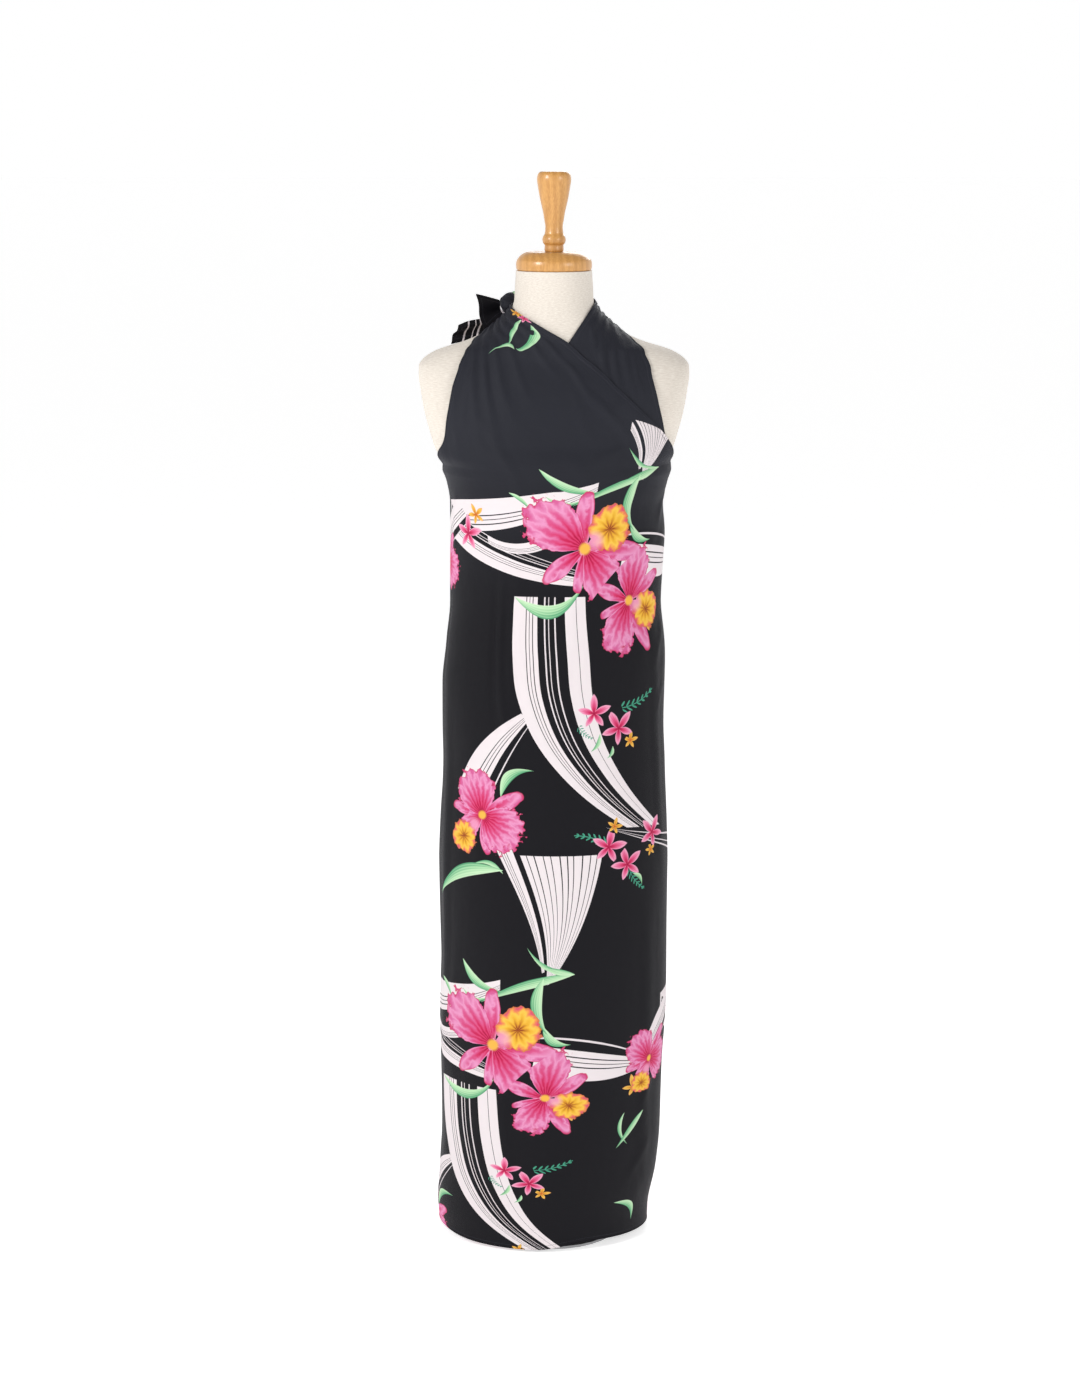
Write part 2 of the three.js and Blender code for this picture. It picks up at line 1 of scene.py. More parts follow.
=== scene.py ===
"""A sarong dress wound round a limbless dress form: the finished look of every surface.

Tables of sizes are in millimetres and are turned into metres where a mesh is built. A place on the
cloth is a turn, in degrees seen from above (0 at the viewer's right, 90 in front, 180 at the left,
270 behind), and a height. The cloth's own flat coordinates are in metres: u runs along the winding,
0 in the middle of the outer front, and v is the height above the floor.
"""

import logging
import math
from collections.abc import Iterator
from contextlib import contextmanager
from dataclasses import dataclass, field
from enum import Enum

import bpy
import numpy as np
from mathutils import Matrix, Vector, kdtree


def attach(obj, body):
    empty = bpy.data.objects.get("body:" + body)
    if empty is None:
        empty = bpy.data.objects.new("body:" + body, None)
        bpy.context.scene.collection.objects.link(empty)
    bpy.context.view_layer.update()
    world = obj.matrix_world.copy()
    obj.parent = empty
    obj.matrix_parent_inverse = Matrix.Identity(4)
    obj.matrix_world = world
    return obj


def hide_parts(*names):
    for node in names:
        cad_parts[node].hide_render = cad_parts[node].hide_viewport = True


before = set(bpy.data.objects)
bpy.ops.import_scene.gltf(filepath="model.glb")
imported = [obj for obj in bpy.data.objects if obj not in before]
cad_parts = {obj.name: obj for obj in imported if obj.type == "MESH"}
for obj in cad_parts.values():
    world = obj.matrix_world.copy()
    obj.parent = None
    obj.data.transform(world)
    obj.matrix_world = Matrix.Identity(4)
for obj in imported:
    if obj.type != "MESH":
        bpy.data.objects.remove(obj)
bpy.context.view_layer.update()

MM = 0.001
LOG = logging.getLogger("sarong_dress")
# What a node's socket takes: another node's socket or a constant
Input = bpy.types.NodeSocket | float | tuple

# Thicknesses and heights, as the solids have them
WALL = 1.5
LAYER_GAP = 0.9
CHEST_GAP = 1.9
BUST = 1169.0
WRAP_START = 180.0
WRAP_END = 360.0
SHELL = 0.5
HEM_ROLL = 0.7
FRONT_TURN = 450.0
SOFT_ANGLE = math.radians(40)


class Profile:
    """Rows of named columns, read on smooth curves that never overshoot their rows."""

    def __init__(self, columns: str, rows: list[tuple[float, ...]]) -> None:
        """Keep the rows.

        Args:
            columns: The columns' names, the key first, parted by spaces.
            rows: The rows, in rising order of the key.
        """
        self.names = columns.split()
        self.data = np.array(rows, dtype=float)
        self.keys = self.data[:, 0]

    def rows(self) -> list[dict[str, float]]:
        """The rows as dictionaries."""
        return [dict(zip(self.names, map(float, row))) for row in self.data]

    def at(self, column: str, where: np.ndarray) -> np.ndarray:
        """Values of a column.

        Args:
            column: The column's name.
            where: Places along the key column.

        Returns:
            The values, the end rows' own beyond the ends.
        """
        keys = self.keys
        values = self.data[:, self.names.index(column)]
        where = np.clip(np.asarray(where, dtype=float), keys[0], keys[-1])
        slopes = np.diff(values) / np.diff(keys)
        tangents = np.zeros_like(values)
        tangents[0], tangents[-1] = slopes[0], slopes[-1]
        product = slopes[:-1] * slopes[1:]
        total = slopes[:-1] + slopes[1:]
        tangents[1:-1] = np.where(product > 0, 2 * product / np.where(product > 0, total, 1.0), 0.0)
        k = np.clip(np.searchsorted(keys, where, side="left") - 1, 0, len(keys) - 2)
        span = keys[k + 1] - keys[k]
        t = (where - keys[k]) / span
        t2, t3 = t * t, t * t * t
        return ((2 * t3 - 3 * t2 + 1) * values[k] + (t3 - 2 * t2 + t) * span * tangents[k]
                + (3 * t2 - 2 * t3) * values[k + 1] + (t3 - t2) * span * tangents[k + 1])


def ease(start: float, end: float, at: np.ndarray) -> np.ndarray:
    """A soft step.

    Args:
        start: Where it leaves 0.
        end: Where it reaches 1.
        at: Places.

    Returns:
        The step's value at each place.
    """
    t = np.clip((np.asarray(at, dtype=float) - start) / (end - start), 0.0, 1.0)
    return t * t * (3 - 2 * t)


def bump(distance: np.ndarray) -> np.ndarray:
    """A soft bump, 1 in the middle and 0 from one half width away."""
    return np.where(np.abs(distance) < 1, np.cos(distance * math.pi / 2) ** 2, 0.0)


def lerp(a: np.ndarray, b: np.ndarray, t: np.ndarray) -> np.ndarray:
    """A value between two others."""
    return a + (b - a) * t


def run_along(line: np.ndarray) -> np.ndarray:
    """The length along a line of points, at each of them."""
    return np.concatenate([[0.0], np.cumsum(np.linalg.norm(np.diff(line, axis=0), axis=1))])


# Level slices of the form and of the skirt's outermost face: half width, both depths, and squareness,
# which is 2 for an ellipse
FORM = Profile("z half front back square", [
    (640, 138, 98, 92, 2.0), (652, 147, 104, 99, 2.0), (700, 152, 110, 108, 2.0),
    (780, 156, 114, 114, 2.0), (860, 153, 110, 110, 2.0), (940, 138, 101, 96, 2.0),
    (1010, 127, 97, 86, 2.05), (1080, 133, 108, 88, 2.1), (1130, 143, 121, 95, 2.2),
    (1150, 148.5, 125.5, 97, 2.25), (BUST, 151.5, 126.5, 99, 2.3), (1185, 161, 124.5, 100, 2.35),
    (1197, 170.5, 121.5, 100, 2.4), (1224, 179.5, 114, 100, 2.5), (1253, 187, 104, 98, 2.6),
    (1282, 192, 92, 93, 2.6), (1306, 195, 80, 87, 2.5), (1318, 194.5, 74, 82, 2.35),
    (1327, 189, 70, 78, 2.2), (1339.5, 170, 66, 73, 2.05), (1354, 125, 61, 67, 2.0),
    (1368, 95, 58, 62, 2.0), (1382, 76, 56, 59.5, 2.0), (1397, 62, 54.5, 57, 2.0),
    (1411, 57, 54, 55.5, 2.0), (1432, 55.8, 54, 55, 2.0), (1452.7, 54.5, 54, 54.5, 2.0),
])
CLOTH = Profile("z half shift front back square", [
    (0, 160, -14.6, 118, 114, 2.0), (35, 162, -15.4, 118.5, 115, 2.0), (100, 166.1, -7.7, 120, 117, 2.0),
    (165, 167.1, -3.1, 121.5, 119, 2.0), (262, 168.5, -2.5, 123.5, 121, 2.0),
    (358, 171.5, -0.3, 125, 123, 2.0), (453, 170.6, 1, 126.5, 124.5, 2.0), (579, 171, 1, 127.5, 126, 2.0),
    (641, 168.9, 0.9, 128, 126.5, 2.0), (733, 165.1, 0.8, 128, 126.5, 2.0),
    (794, 164.5, -0.7, 128, 126, 2.0), (855, 164.8, 0, 127, 123, 2.0), (915, 161.2, 2.9, 124, 117, 2.0),
    (975, 154.9, 2.7, 121.5, 111, 2.0), (1034, 155.9, 4.2, 123, 108.5, 2.0),
    (1078, 156.9, 5.5, 127, 108, 2.05), (1122, 155, 4, 132, 109, 2.15), (1152, 159.9, 4.7, 135, 110.5, 2.2),
    (BUST, 165.5, 4.6, 135, 111, 2.25),
])
# How far the halter's inner face stands off the form
CLEARANCE = Profile("z off", [(BUST, 3), (1240, 2.6), (1300, 2.0), (1355, 1.7), (1390, 1.6), (1410, 1.4)])
# The hem's height above the floor, and the height over which it levels out
HEM = Profile("turn height", [
    (0, 10), (40, 13), (65, 15), (95, 5), (130, 7), (180, 14), (270, 12), (360, 10),
])
HEM_BLEND = 60.0
SKIRT_ROWS = (60, 165, 300, 453, 600, 733, 820, 900, 975, 1045)


def slice_values(z: np.ndarray) -> dict[str, np.ndarray]:
    """The level slice of the innermost cloth's inner face.

    Args:
        z: Heights.

    Returns:
        The slice's half width, shift, depth in front and behind, and squareness.
    """
    layers = 2 * WALL + LAYER_GAP
    own = {name: CLOTH.at(name, z) for name in CLOTH.names[1:]}
    form = {name: FORM.at(name, z) for name in FORM.names[1:]}
    off = CLEARANCE.at("off", z)
    follow = ease(BUST, BUST + 45, z)
    above = z > BUST
    half = own["half"] - layers
    narrowed = half * (1 - ease(BUST + 20, BUST + 60, z))
    result = {
        "half": np.where(above, np.maximum(form["half"] + off, narrowed), half),
        "shift": own["shift"] * (1 - ease(BUST, BUST + 28, z)),
        "square": np.where(above, form["square"], own["square"]),
    }
    for side in ("front", "back"):
        inner = own[side] - layers
        clear = form[side] + off
        result[side] = np.where(above, lerp(np.maximum(inner, clear), clear, follow), inner)
    return result


def slice_points(values: dict[str, np.ndarray], turn: np.ndarray, z: np.ndarray) -> np.ndarray:
    """Points of slices' outlines.

    Args:
        values: The slices' sizes.
        turn: Turns in degrees.
        z: Heights.

    Returns:
        An array of points whose last axis is x, y, z.
    """
    angle = np.radians(turn)
    c, s = np.cos(angle), np.sin(angle)
    power = 2 / values["square"]
    depth = np.where(s > 0, values["front"], values["back"])
    x = values.get("shift", 0.0) + values["half"] * np.sign(c) * np.abs(c) ** power
    y = -depth * np.sign(s) * np.abs(s) ** power
    return np.stack(np.broadcast_arrays(x, y, z), axis=-1)


def cloth_points(turn: np.ndarray, z: np.ndarray, out: np.ndarray) -> np.ndarray:
    """Points of the cloth.

    Args:
        turn: Turns in degrees.
        z: Heights.
        out: Distances out from the innermost layer's inner face.

    Returns:
        An array of points whose last axis is x, y, z.
    """
    def place(t: np.ndarray, h: np.ndarray) -> np.ndarray:
        """A point on the innermost face."""
        return slice_points(slice_values(h), t, h)

    along = place(turn + 0.5, z) - place(turn - 0.5, z)
    up = place(turn, z + 1) - place(turn, z - 1)
    normal = np.cross(up, along)
    normal /= np.linalg.norm(normal, axis=-1, keepdims=True)
    return place(turn, z) + normal * np.asarray(out)[..., None]


def turn_at(x: float, z: float) -> float:
    """The turn of the cloth's place that is seen at x from the front."""
    values = {name: float(value) for name, value in slice_values(np.array(float(z))).items()}
    share = max(-1.0, min(1.0, (x - values["shift"]) / values["half"]))
    return math.degrees(math.acos(math.copysign(abs(share) ** (values["square"] / 2), share)))


def layer_step(z: np.ndarray) -> np.ndarray:
    """The distance from one layer to the next: wider where the halves of the halter cross."""
    return WALL + lerp(LAYER_GAP, CHEST_GAP, ease(1080, 1165, z))


# The flat cloth's u is the length round the skirt's average outline
ARC_HALF, ARC_DEPTH = 167.0, 124.0
ARC_TURNS = np.linspace(-60.0, 600.0, 2641)
ARC_ANGLES = np.radians(ARC_TURNS)
ARC_LENGTHS = run_along(np.stack([ARC_HALF * np.cos(ARC_ANGLES), ARC_DEPTH * np.sin(ARC_ANGLES)], axis=-1))


def flat_u(turn: np.ndarray) -> np.ndarray:
    """The flat cloth's u, in metres, of a turn."""
    middle = np.interp(FRONT_TURN, ARC_TURNS, ARC_LENGTHS)
    return (middle - np.interp(turn, ARC_TURNS, ARC_LENGTHS)) * MM


# Long soft folds that the solids have too
SKIRT_FOLDS = Profile("turn0 z0 turn1 z1 half ridge", [
    (212, 90, 214, 1020, 9, 2.4), (246, 500, 240, 1120, 8, 2.2), (284, 30, 280, 760, 9, 2.6),
    (322, 240, 318, 1090, 8, 2.4), (380, 560, 388, 1010, 8, 1.6), (392, 40, 396, 560, 9, 1.8),
    (478, 620, 470, 1075, 8, 2.2), (524, 60, 520, 900, 9, 2.2),
])
OUTER_GATHERS = Profile("at half ridge rows", [
    (0.07, 0.07, 1.6, 3.2), (0.24, 0.1, 2.8, 6.5), (0.44, 0.1, 3.2, 5.2), (0.62, 0.085, 3.0, 7.5),
    (0.79, 0.085, 2.8, 6.2), (0.94, 0.06, 1.8, 4.0),
])
UNDER_GATHERS = Profile("at half ridge rows", [
    (0.1, 0.09, 1.8, 4.2), (0.3, 0.1, 2.8, 5.6), (0.52, 0.1, 3.0, 4.6), (0.74, 0.1, 2.6, 3.6),
    (0.93, 0.07, 1.6, 2.6),
])
# Finer creases: both ends as turn and height, half width and height of the ridge in millimetres
CREASES = Profile("turn0 z0 turn1 z1 width ridge", [
    (186, 1120, 214, 1060, 7, 0.9), (192, 700, 206, 610, 8, -0.9), (200, 380, 204, 150, 10, 1.3),
    (222, 1150, 232, 940, 9, -1.3), (228, 640, 238, 470, 8, 1.0), (234, 300, 231, 60, 10, 1.2),
    (252, 1140, 262, 1010, 8, 1.1), (258, 900, 250, 700, 9, -1.0), (266, 520, 272, 260, 11, 1.4),
    (270, 1060, 292, 1010, 7, 0.9), (290, 1130, 284, 930, 8, -1.1), (296, 860, 306, 600, 9, 1.2),
    (300, 420, 296, 120, 10, -1.3), (312, 1120, 326, 1040, 7, 0.9), (330, 760, 336, 520, 9, 1.1),
    (338, 440, 332, 190, 10, -1.0), (346, 1090, 352, 880, 8, 1.0), (366, 1140, 384, 1096, 6, 1.1),
    (368, 1110, 392, 1040, 7, -0.9), (369, 950, 387, 900, 6, 1.2), (370, 905, 389, 872, 6, -1.0),
    (371, 868, 384, 820, 6, 0.9), (376, 300, 398, 210, 7, 1.0), (384, 170, 406, 95, 7, 0.9),
    (398, 130, 382, 60, 6, -0.8), (404, 1190, 424, 1275, 9, 1.2), (412, 1160, 436, 1262, 10, -1.2),
    (420, 1290, 434, 1230, 8, 1.2), (428, 1120, 446, 1200, 9, 0.8), (441, 1010, 443, 780, 12, 0.7),
    (452, 520, 456, 270, 13, 0.8), (466, 1130, 478, 1260, 9, 1.1), (474, 300, 470, 70, 12, 0.9),
    (479, 1040, 474, 790, 7, 2.3), (483, 1036, 480, 800, 5, -1.5), (492, 760, 488, 560, 11, 0.8),
    (496, 1190, 492, 1320, 8, 1.2), (506, 1180, 502, 1300, 7, -1.0), (508, 480, 512, 210, 12, 0.9),
    (516, 1150, 522, 1040, 8, 0.9), (530, 1000, 526, 820, 8, -1.0), (538, 700, 534, 430, 9, 1.0),
    (546, 330, 541, 80, 9, 1.1),
])
# Creases that the knot and the crossing pull into the halter: both ends as x and z, width, ridge
OUTER_PULLS = Profile("x0 z0 x1 z1 width ridge", [
    (-112, 1352, -98, 1196, 6, 2.3), (-99, 1362, -76, 1208, 5, 2.0), (-92, 1356, -70, 1232, 4, -1.0),
    (-84, 1367, -54, 1236, 6, 2.2), (-66, 1373, -28, 1262, 6, 1.8), (-106, 1340, -130, 1212, 5, 1.7),
    (-46, 1381, 12, 1300, 5, 1.7), (-20, 1368, 60, 1290, 5, 1.4), (20, 1325, 99, 1232, 7, 1.7),
    (28, 1292, 60, 1204, 8, 1.3), (60, 1282, 122, 1212, 6, 1.3), (-120, 1240, -60, 1178, 8, 1.1),
    (110, 1215, 40, 1176, 8, 1.2),
])
UNDER_PULLS = Profile("x0 z0 x1 z1 width ridge", [
    (68, 1369, 84, 1260, 6, 2.2), (84, 1363, 104, 1254, 5, 1.9), (98, 1358, 122, 1260, 6, 1.8),
    (110, 1350, 138, 1248, 5, 1.5), (52, 1381, 66, 1328, 5, 1.6), (76, 1352, 92, 1270, 4, -0.9),
])


def skirt_folds(turn: np.ndarray, z: np.ndarray) -> np.ndarray:
    """How far the long folds lift the cloth."""
    total = np.zeros(np.broadcast(turn, z).shape)
    for fold in SKIRT_FOLDS.rows():
        share = (z - fold["z0"]) / (fold["z1"] - fold["z0"])
        inside = np.clip(share, 0.0, 1.0)
        middle = lerp(fold["turn0"], fold["turn1"], share)
        total += fold["ridge"] * bump((turn - middle) / fold["half"]) * np.sin(math.pi * inside) ** 0.7
    return total


def beside(x: np.ndarray, z: np.ndarray, start: tuple, end: tuple) -> tuple[np.ndarray, np.ndarray, float]:
    """Where places lie beside a crease.

    Args:
        x: The places' first coordinate.
        z: The places' height.
        start: The crease's one end.
        end: Its other end.

    Returns:
        The share along the crease, the distance from its straight line, and its length.
    """
    dx, dz = end[0] - start[0], end[1] - start[1]
    length = math.hypot(dx, dz)
    off_x, off_z = x - start[0], z - start[1]
    return (off_x * dx + off_z * dz) / length ** 2, (off_x * dz - off_z * dx) / length, length


def fine_creases(turn: np.ndarray, z: np.ndarray) -> np.ndarray:
    """How far the fine creases and the cloth's soft unevenness move it."""
    u = flat_u(turn) / MM
    total = 0.22 * np.sin(u / 23 + 1.3 * np.sin(z / 61)) + 0.18 * np.sin(z / 47 + u / 39)
    for crease in CREASES.rows():
        start, end = ((float(flat_u(crease["turn" + side])) / MM, crease["z" + side]) for side in "01")
        share, off, length = beside(u, z, start, end)
        arch = np.sin(math.pi * np.clip(share, 0, 1))
        height = crease["ridge"] * (1.8 if crease["ridge"] > 0 else 1.1)
        total += height * arch ** 0.8 * np.exp(-(((off - 0.04 * length * arch) / crease["width"]) ** 2))
    return total


def pulled_creases(table: Profile, x: np.ndarray, z: np.ndarray) -> np.ndarray:
    """How far the halter's long creases lift the cloth.

    Args:
        table: The creases.
        x: Places seen from the front.
        z: Heights.

    Returns:
        The lift in millimetres.
    """
    total = np.zeros(np.broadcast(x, z).shape)
    for crease in table.rows():
        start, end = ((crease["x" + side], crease["z" + side]) for side in "01")
        share, off, length = beside(x, z, start, end)
        inside = np.clip(share, 0, 1)
        bow = 0.05 * length * np.sin(math.pi * inside)
        width = crease["width"] * (0.6 + 0.8 * inside)
        fade = np.sin(math.pi * inside ** 0.7)
        total += crease["ridge"] * fade * np.exp(-(((off - bow) / width) ** 2))
    return total


def gathers(folds: Profile, across: np.ndarray, rows_left: np.ndarray) -> np.ndarray:
    """How far the halter's gathers lift the cloth.

    Args:
        folds: The gathers.
        across: Places across the halter, 0 to 1.
        rows_left: Counts of rows from the halter's end.

    Returns:
        The lift, with small pleats between the gathers close to the end.
    """
    total = np.zeros(np.broadcast(across, rows_left).shape)
    for fold in folds.rows():
        share = np.clip(1 - rows_left / fold["rows"], 0.0, 1.0)
        total += fold["ridge"] * bump((across - fold["at"]) / fold["half"]) * share ** 1.3
    near = np.clip(1 - rows_left / 2.6, 0.0, 1.0) ** 1.5
    return total + 0.55 * near * np.sin(across * 61 + 1.7 * np.sin(across * 17)) ** 2


def select_only(*pieces: bpy.types.Object) -> None:
    """Select some objects and make the first one active."""
    bpy.ops.object.select_all(action="DESELECT")
    for piece in pieces:
        piece.select_set(True)
    bpy.context.view_layer.objects.active = pieces[0]


@contextmanager
def editing() -> Iterator[None]:
    """Edit mode on the active object, all of it selected."""
    bpy.ops.object.mode_set(mode="EDIT")
    bpy.ops.mesh.select_all(action="SELECT")
    yield
    bpy.ops.object.mode_set(mode="OBJECT")


def write_flat(mesh: bpy.types.Mesh, flat: np.ndarray) -> None:
    """Write the flat coordinates of a mesh's points to its UV map."""
    corners = np.empty(len(mesh.loops), dtype=np.int32)
    mesh.loops.foreach_get("vertex_index", corners)
    layer = mesh.uv_layers[0] if mesh.uv_layers else mesh.uv_layers.new(name="flat")
    layer.name = "flat"
    layer.data.foreach_set("uv", flat[corners].astype(float).ravel())


def write_values(mesh: bpy.types.Mesh, name: str, values: np.ndarray) -> None:
    """Write a number for each point of a mesh to an attribute."""
    mesh.attributes.new(name, "FLOAT", "POINT").data.foreach_set("value", values)


def point_tree(points: np.ndarray) -> kdtree.KDTree:
    """A tree that finds the nearest one of some points."""
    tree = kdtree.KDTree(len(points))
    for index, point in enumerate(points):
        tree.insert(Vector(point), index)
    tree.balance()
    return tree


def grid_object(name: str, points: np.ndarray, flat: np.ndarray) -> bpy.types.Object:
    """A sheet modelled from a grid primitive.

    Args:
        name: The object's name.
        points: Rows by columns of points, in metres.
        flat: Rows by columns of the flat cloth's u and v, in metres.

    Returns:
        The object, with the flat coordinates in its UV map.
    """
    rows, columns = points.shape[:2]
    bpy.ops.object.select_all(action="DESELECT")
    bpy.ops.mesh.primitive_grid_add(x_subdivisions=columns - 1, y_subdivisions=rows - 1, size=2.0)
    sheet = bpy.context.object
    sheet.name = sheet.data.name = name
    place = np.empty(len(sheet.data.vertices) * 3)
    sheet.data.vertices.foreach_get("co", place)
    place = place.reshape(-1, 3)
    i = np.rint((place[:, 0] + 1) / 2 * (columns - 1)).astype(int)
    j = np.rint((place[:, 1] + 1) / 2 * (rows - 1)).astype(int)
    sheet.data.vertices.foreach_set("co", points[j, i].astype(float).ravel())
    write_flat(sheet.data, flat[j, i])
    sheet.data.update()
    bpy.ops.object.shade_smooth()
    return sheet


def line_object(points: np.ndarray) -> bpy.types.Object:
    """A line of joined points, modelled from a grid primitive cut down to one of its rows.

    Args:
        points: The points in metres.

    Returns:
        The object.
    """
    bpy.ops.object.select_all(action="DESELECT")
    bpy.ops.mesh.primitive_grid_add(x_subdivisions=len(points) - 1, y_subdivisions=1, size=2.0)
    line = bpy.context.object
    for item in (*line.data.edges, *line.data.polygons):
        item.select = False
    for vertex in line.data.vertices:
        vertex.select = vertex.co.y > 0
    bpy.ops.object.mode_set(mode="EDIT")
    bpy.ops.mesh.select_mode(type="VERT")
    bpy.ops.mesh.delete(type="VERT")
    bpy.ops.object.mode_set(mode="OBJECT")
    order = sorted(line.data.vertices, key=lambda vertex: vertex.co.x)
    for vertex, point in zip(order, points):
        vertex.co = Vector(point)
    return line


def apply_modifiers(piece: bpy.types.Object) -> None:
    """Apply a piece's modifiers in their order."""
    select_only(piece)
    for modifier in list(piece.modifiers):
        bpy.ops.object.modifier_apply(modifier=modifier.name)


def thicken(sheet: bpy.types.Object, thickness: float = SHELL * MM) -> None:
    """Give a sheet its thickness, half to each side."""
    solid = sheet.modifiers.new("thickness", "SOLIDIFY")
    solid.thickness = thickness
    solid.offset = 0.0
    apply_modifiers(sheet)


def mark_edges(sheet: bpy.types.Object, lines: list[np.ndarray]) -> None:
    """Write each point's distance from the nearest free edge, and the run along that edge.

    Args:
        sheet: The sheet, before it is thickened.
        lines: Lines of points, in metres, along the free edges.
    """
    run = np.concatenate([run_along(line) for line in lines])
    tree = point_tree(np.concatenate(lines))
    found = [tree.find(vertex.co) for vertex in sheet.data.vertices]
    write_values(sheet.data, "edge", np.array([far for _, _, far in found]))
    write_values(sheet.data, "run", run[[index for _, index, _ in found]])


def rolled_edge(name: str, line: np.ndarray, flat: np.ndarray) -> bpy.types.Object:
    """A rolled hem along a line.

    Args:
        name: The object's name.
        line: Points in metres.
        flat: The points' flat coordinates.

    Returns:
        The hem as a mesh.
    """
    line_object(line)
    bpy.ops.object.convert(target="CURVE")
    roll = bpy.context.object.data
    roll.bevel_depth = HEM_ROLL * MM
    roll.bevel_resolution = 1
    roll.use_fill_caps = True
    bpy.ops.object.convert(target="MESH")
    hem = bpy.context.object
    with editing():
        bpy.ops.mesh.remove_doubles(threshold=1e-6)
        bpy.ops.mesh.normals_make_consistent(inside=False)
    bpy.ops.object.shade_smooth()
    hem.name = hem.data.name = name
    tree = point_tree(line)
    nearest = np.array([tree.find(vertex.co)[1] for vertex in hem.data.vertices])
    write_flat(hem.data, flat[nearest])
    write_values(hem.data, "edge", np.zeros(len(nearest)))
    write_values(hem.data, "run", run_along(line)[nearest])
    return hem


class Seen(Enum):
    """How the end of a halter row is given."""

    TURN = "turn"
    X = "x"


T, X = Seen.TURN, Seen.X

# Rows of the halter: for both of its ends how they are given, the value and the height; then the level
OUTER_ROWS = (
    (T, 0, 1100, T, 198, 1100, 1), (T, 0, 1128, T, 193, 1128, 1), (T, 0, 1150, T, 185, 1150, 1),
    (T, 0, 1173, T, 173, 1173, 1), (T, 11, 1188, T, 163, 1187, 1), (T, 21, 1204, T, 156, 1200, 1),
    (X, 158, 1221, X, -155, 1214, 1), (X, 120, 1262, X, -149, 1252, 1), (X, 80, 1300, X, -142, 1289, 1),
    (X, 48, 1328, X, -135, 1313, 1), (X, 19.5, 1353, X, -128, 1332, 0.9), (X, -20, 1377, X, -120, 1346, 0.5),
    (X, -45, 1391, X, -113, 1357, 0.2), (T, 166, 1401, T, 170, 1363, 0), (T, 186, 1405, T, 186, 1367, 0),
)
UNDER_ROWS = (
    (T, -16, 1100, T, 180, 1095, 0), (T, -7, 1128, T, 180, 1124, 0), (T, 2, 1150, T, 180, 1142, 0),
    (T, 11, 1172, T, 180, 1156, 0), (T, 18, 1188, T, 160, 1174, 0), (T, 24, 1204, T, 143, 1198, 0),
    (X, 158, 1221, T, 126, 1228, 0), (X, 152, 1250, T, 114, 1258, 0), (X, 146, 1276, T, 104, 1288, 0),
    (X, 138, 1308, T, 92, 1322, 0), (X, 130, 1334, X, 19.5, 1352, 0), (X, 121, 1349, X, 33, 1372, 0),
    (T, 16, 1360, X, 45, 1389, 0), (T, 5, 1366, T, 22, 1404, 0), (T, -6, 1368, T, -6, 1411, 0),
)
BACK_ROWS = (
    (T, 180, 1100, T, 360, 1100, 1), (T, 180, 1124, T, 360, 1128, 1), (T, 180, 1142, T, 360, 1150, 1),
    (T, 180, 1156, T, 360, 1173, 1),
)
# How much wider the flat cloth is than the gathered one
GATHERED = 1.6
# The count of rows that stands for the skirt, and the one from which the armholes have a hem
SKIRT_COUNT = -99.0
HEMMED_FROM = 3


def halter_profile(rows: tuple, added: float, first: float, last: float) -> Profile:
    """The halter's rows by their count, one row of the skirt before them.

    Args:
        rows: The table of rows.
        added: Degrees added to every turn.
        first: The skirt's first turn.
        last: The skirt's last turn.

    Returns:
        A profile over the count of rows, -1 on the skirt's highest row.
    """
    def turn(kind: Seen, value: float, z: float) -> float:
        """The turn of one end of a row."""
        return (value if kind is Seen.TURN else turn_at(value, z)) + added

    table = [(-1, first, SKIRT_ROWS[-1], last, SKIRT_ROWS[-1], rows[0][6])]
    for k, (kind0, value0, z0, kind1, value1, z1, level) in enumerate(rows):
        table.append((k, turn(kind0, value0, z0), z0, turn(kind1, value1, z1), z1, level))
    return Profile("k first_turn first_z last_turn last_z level", table)


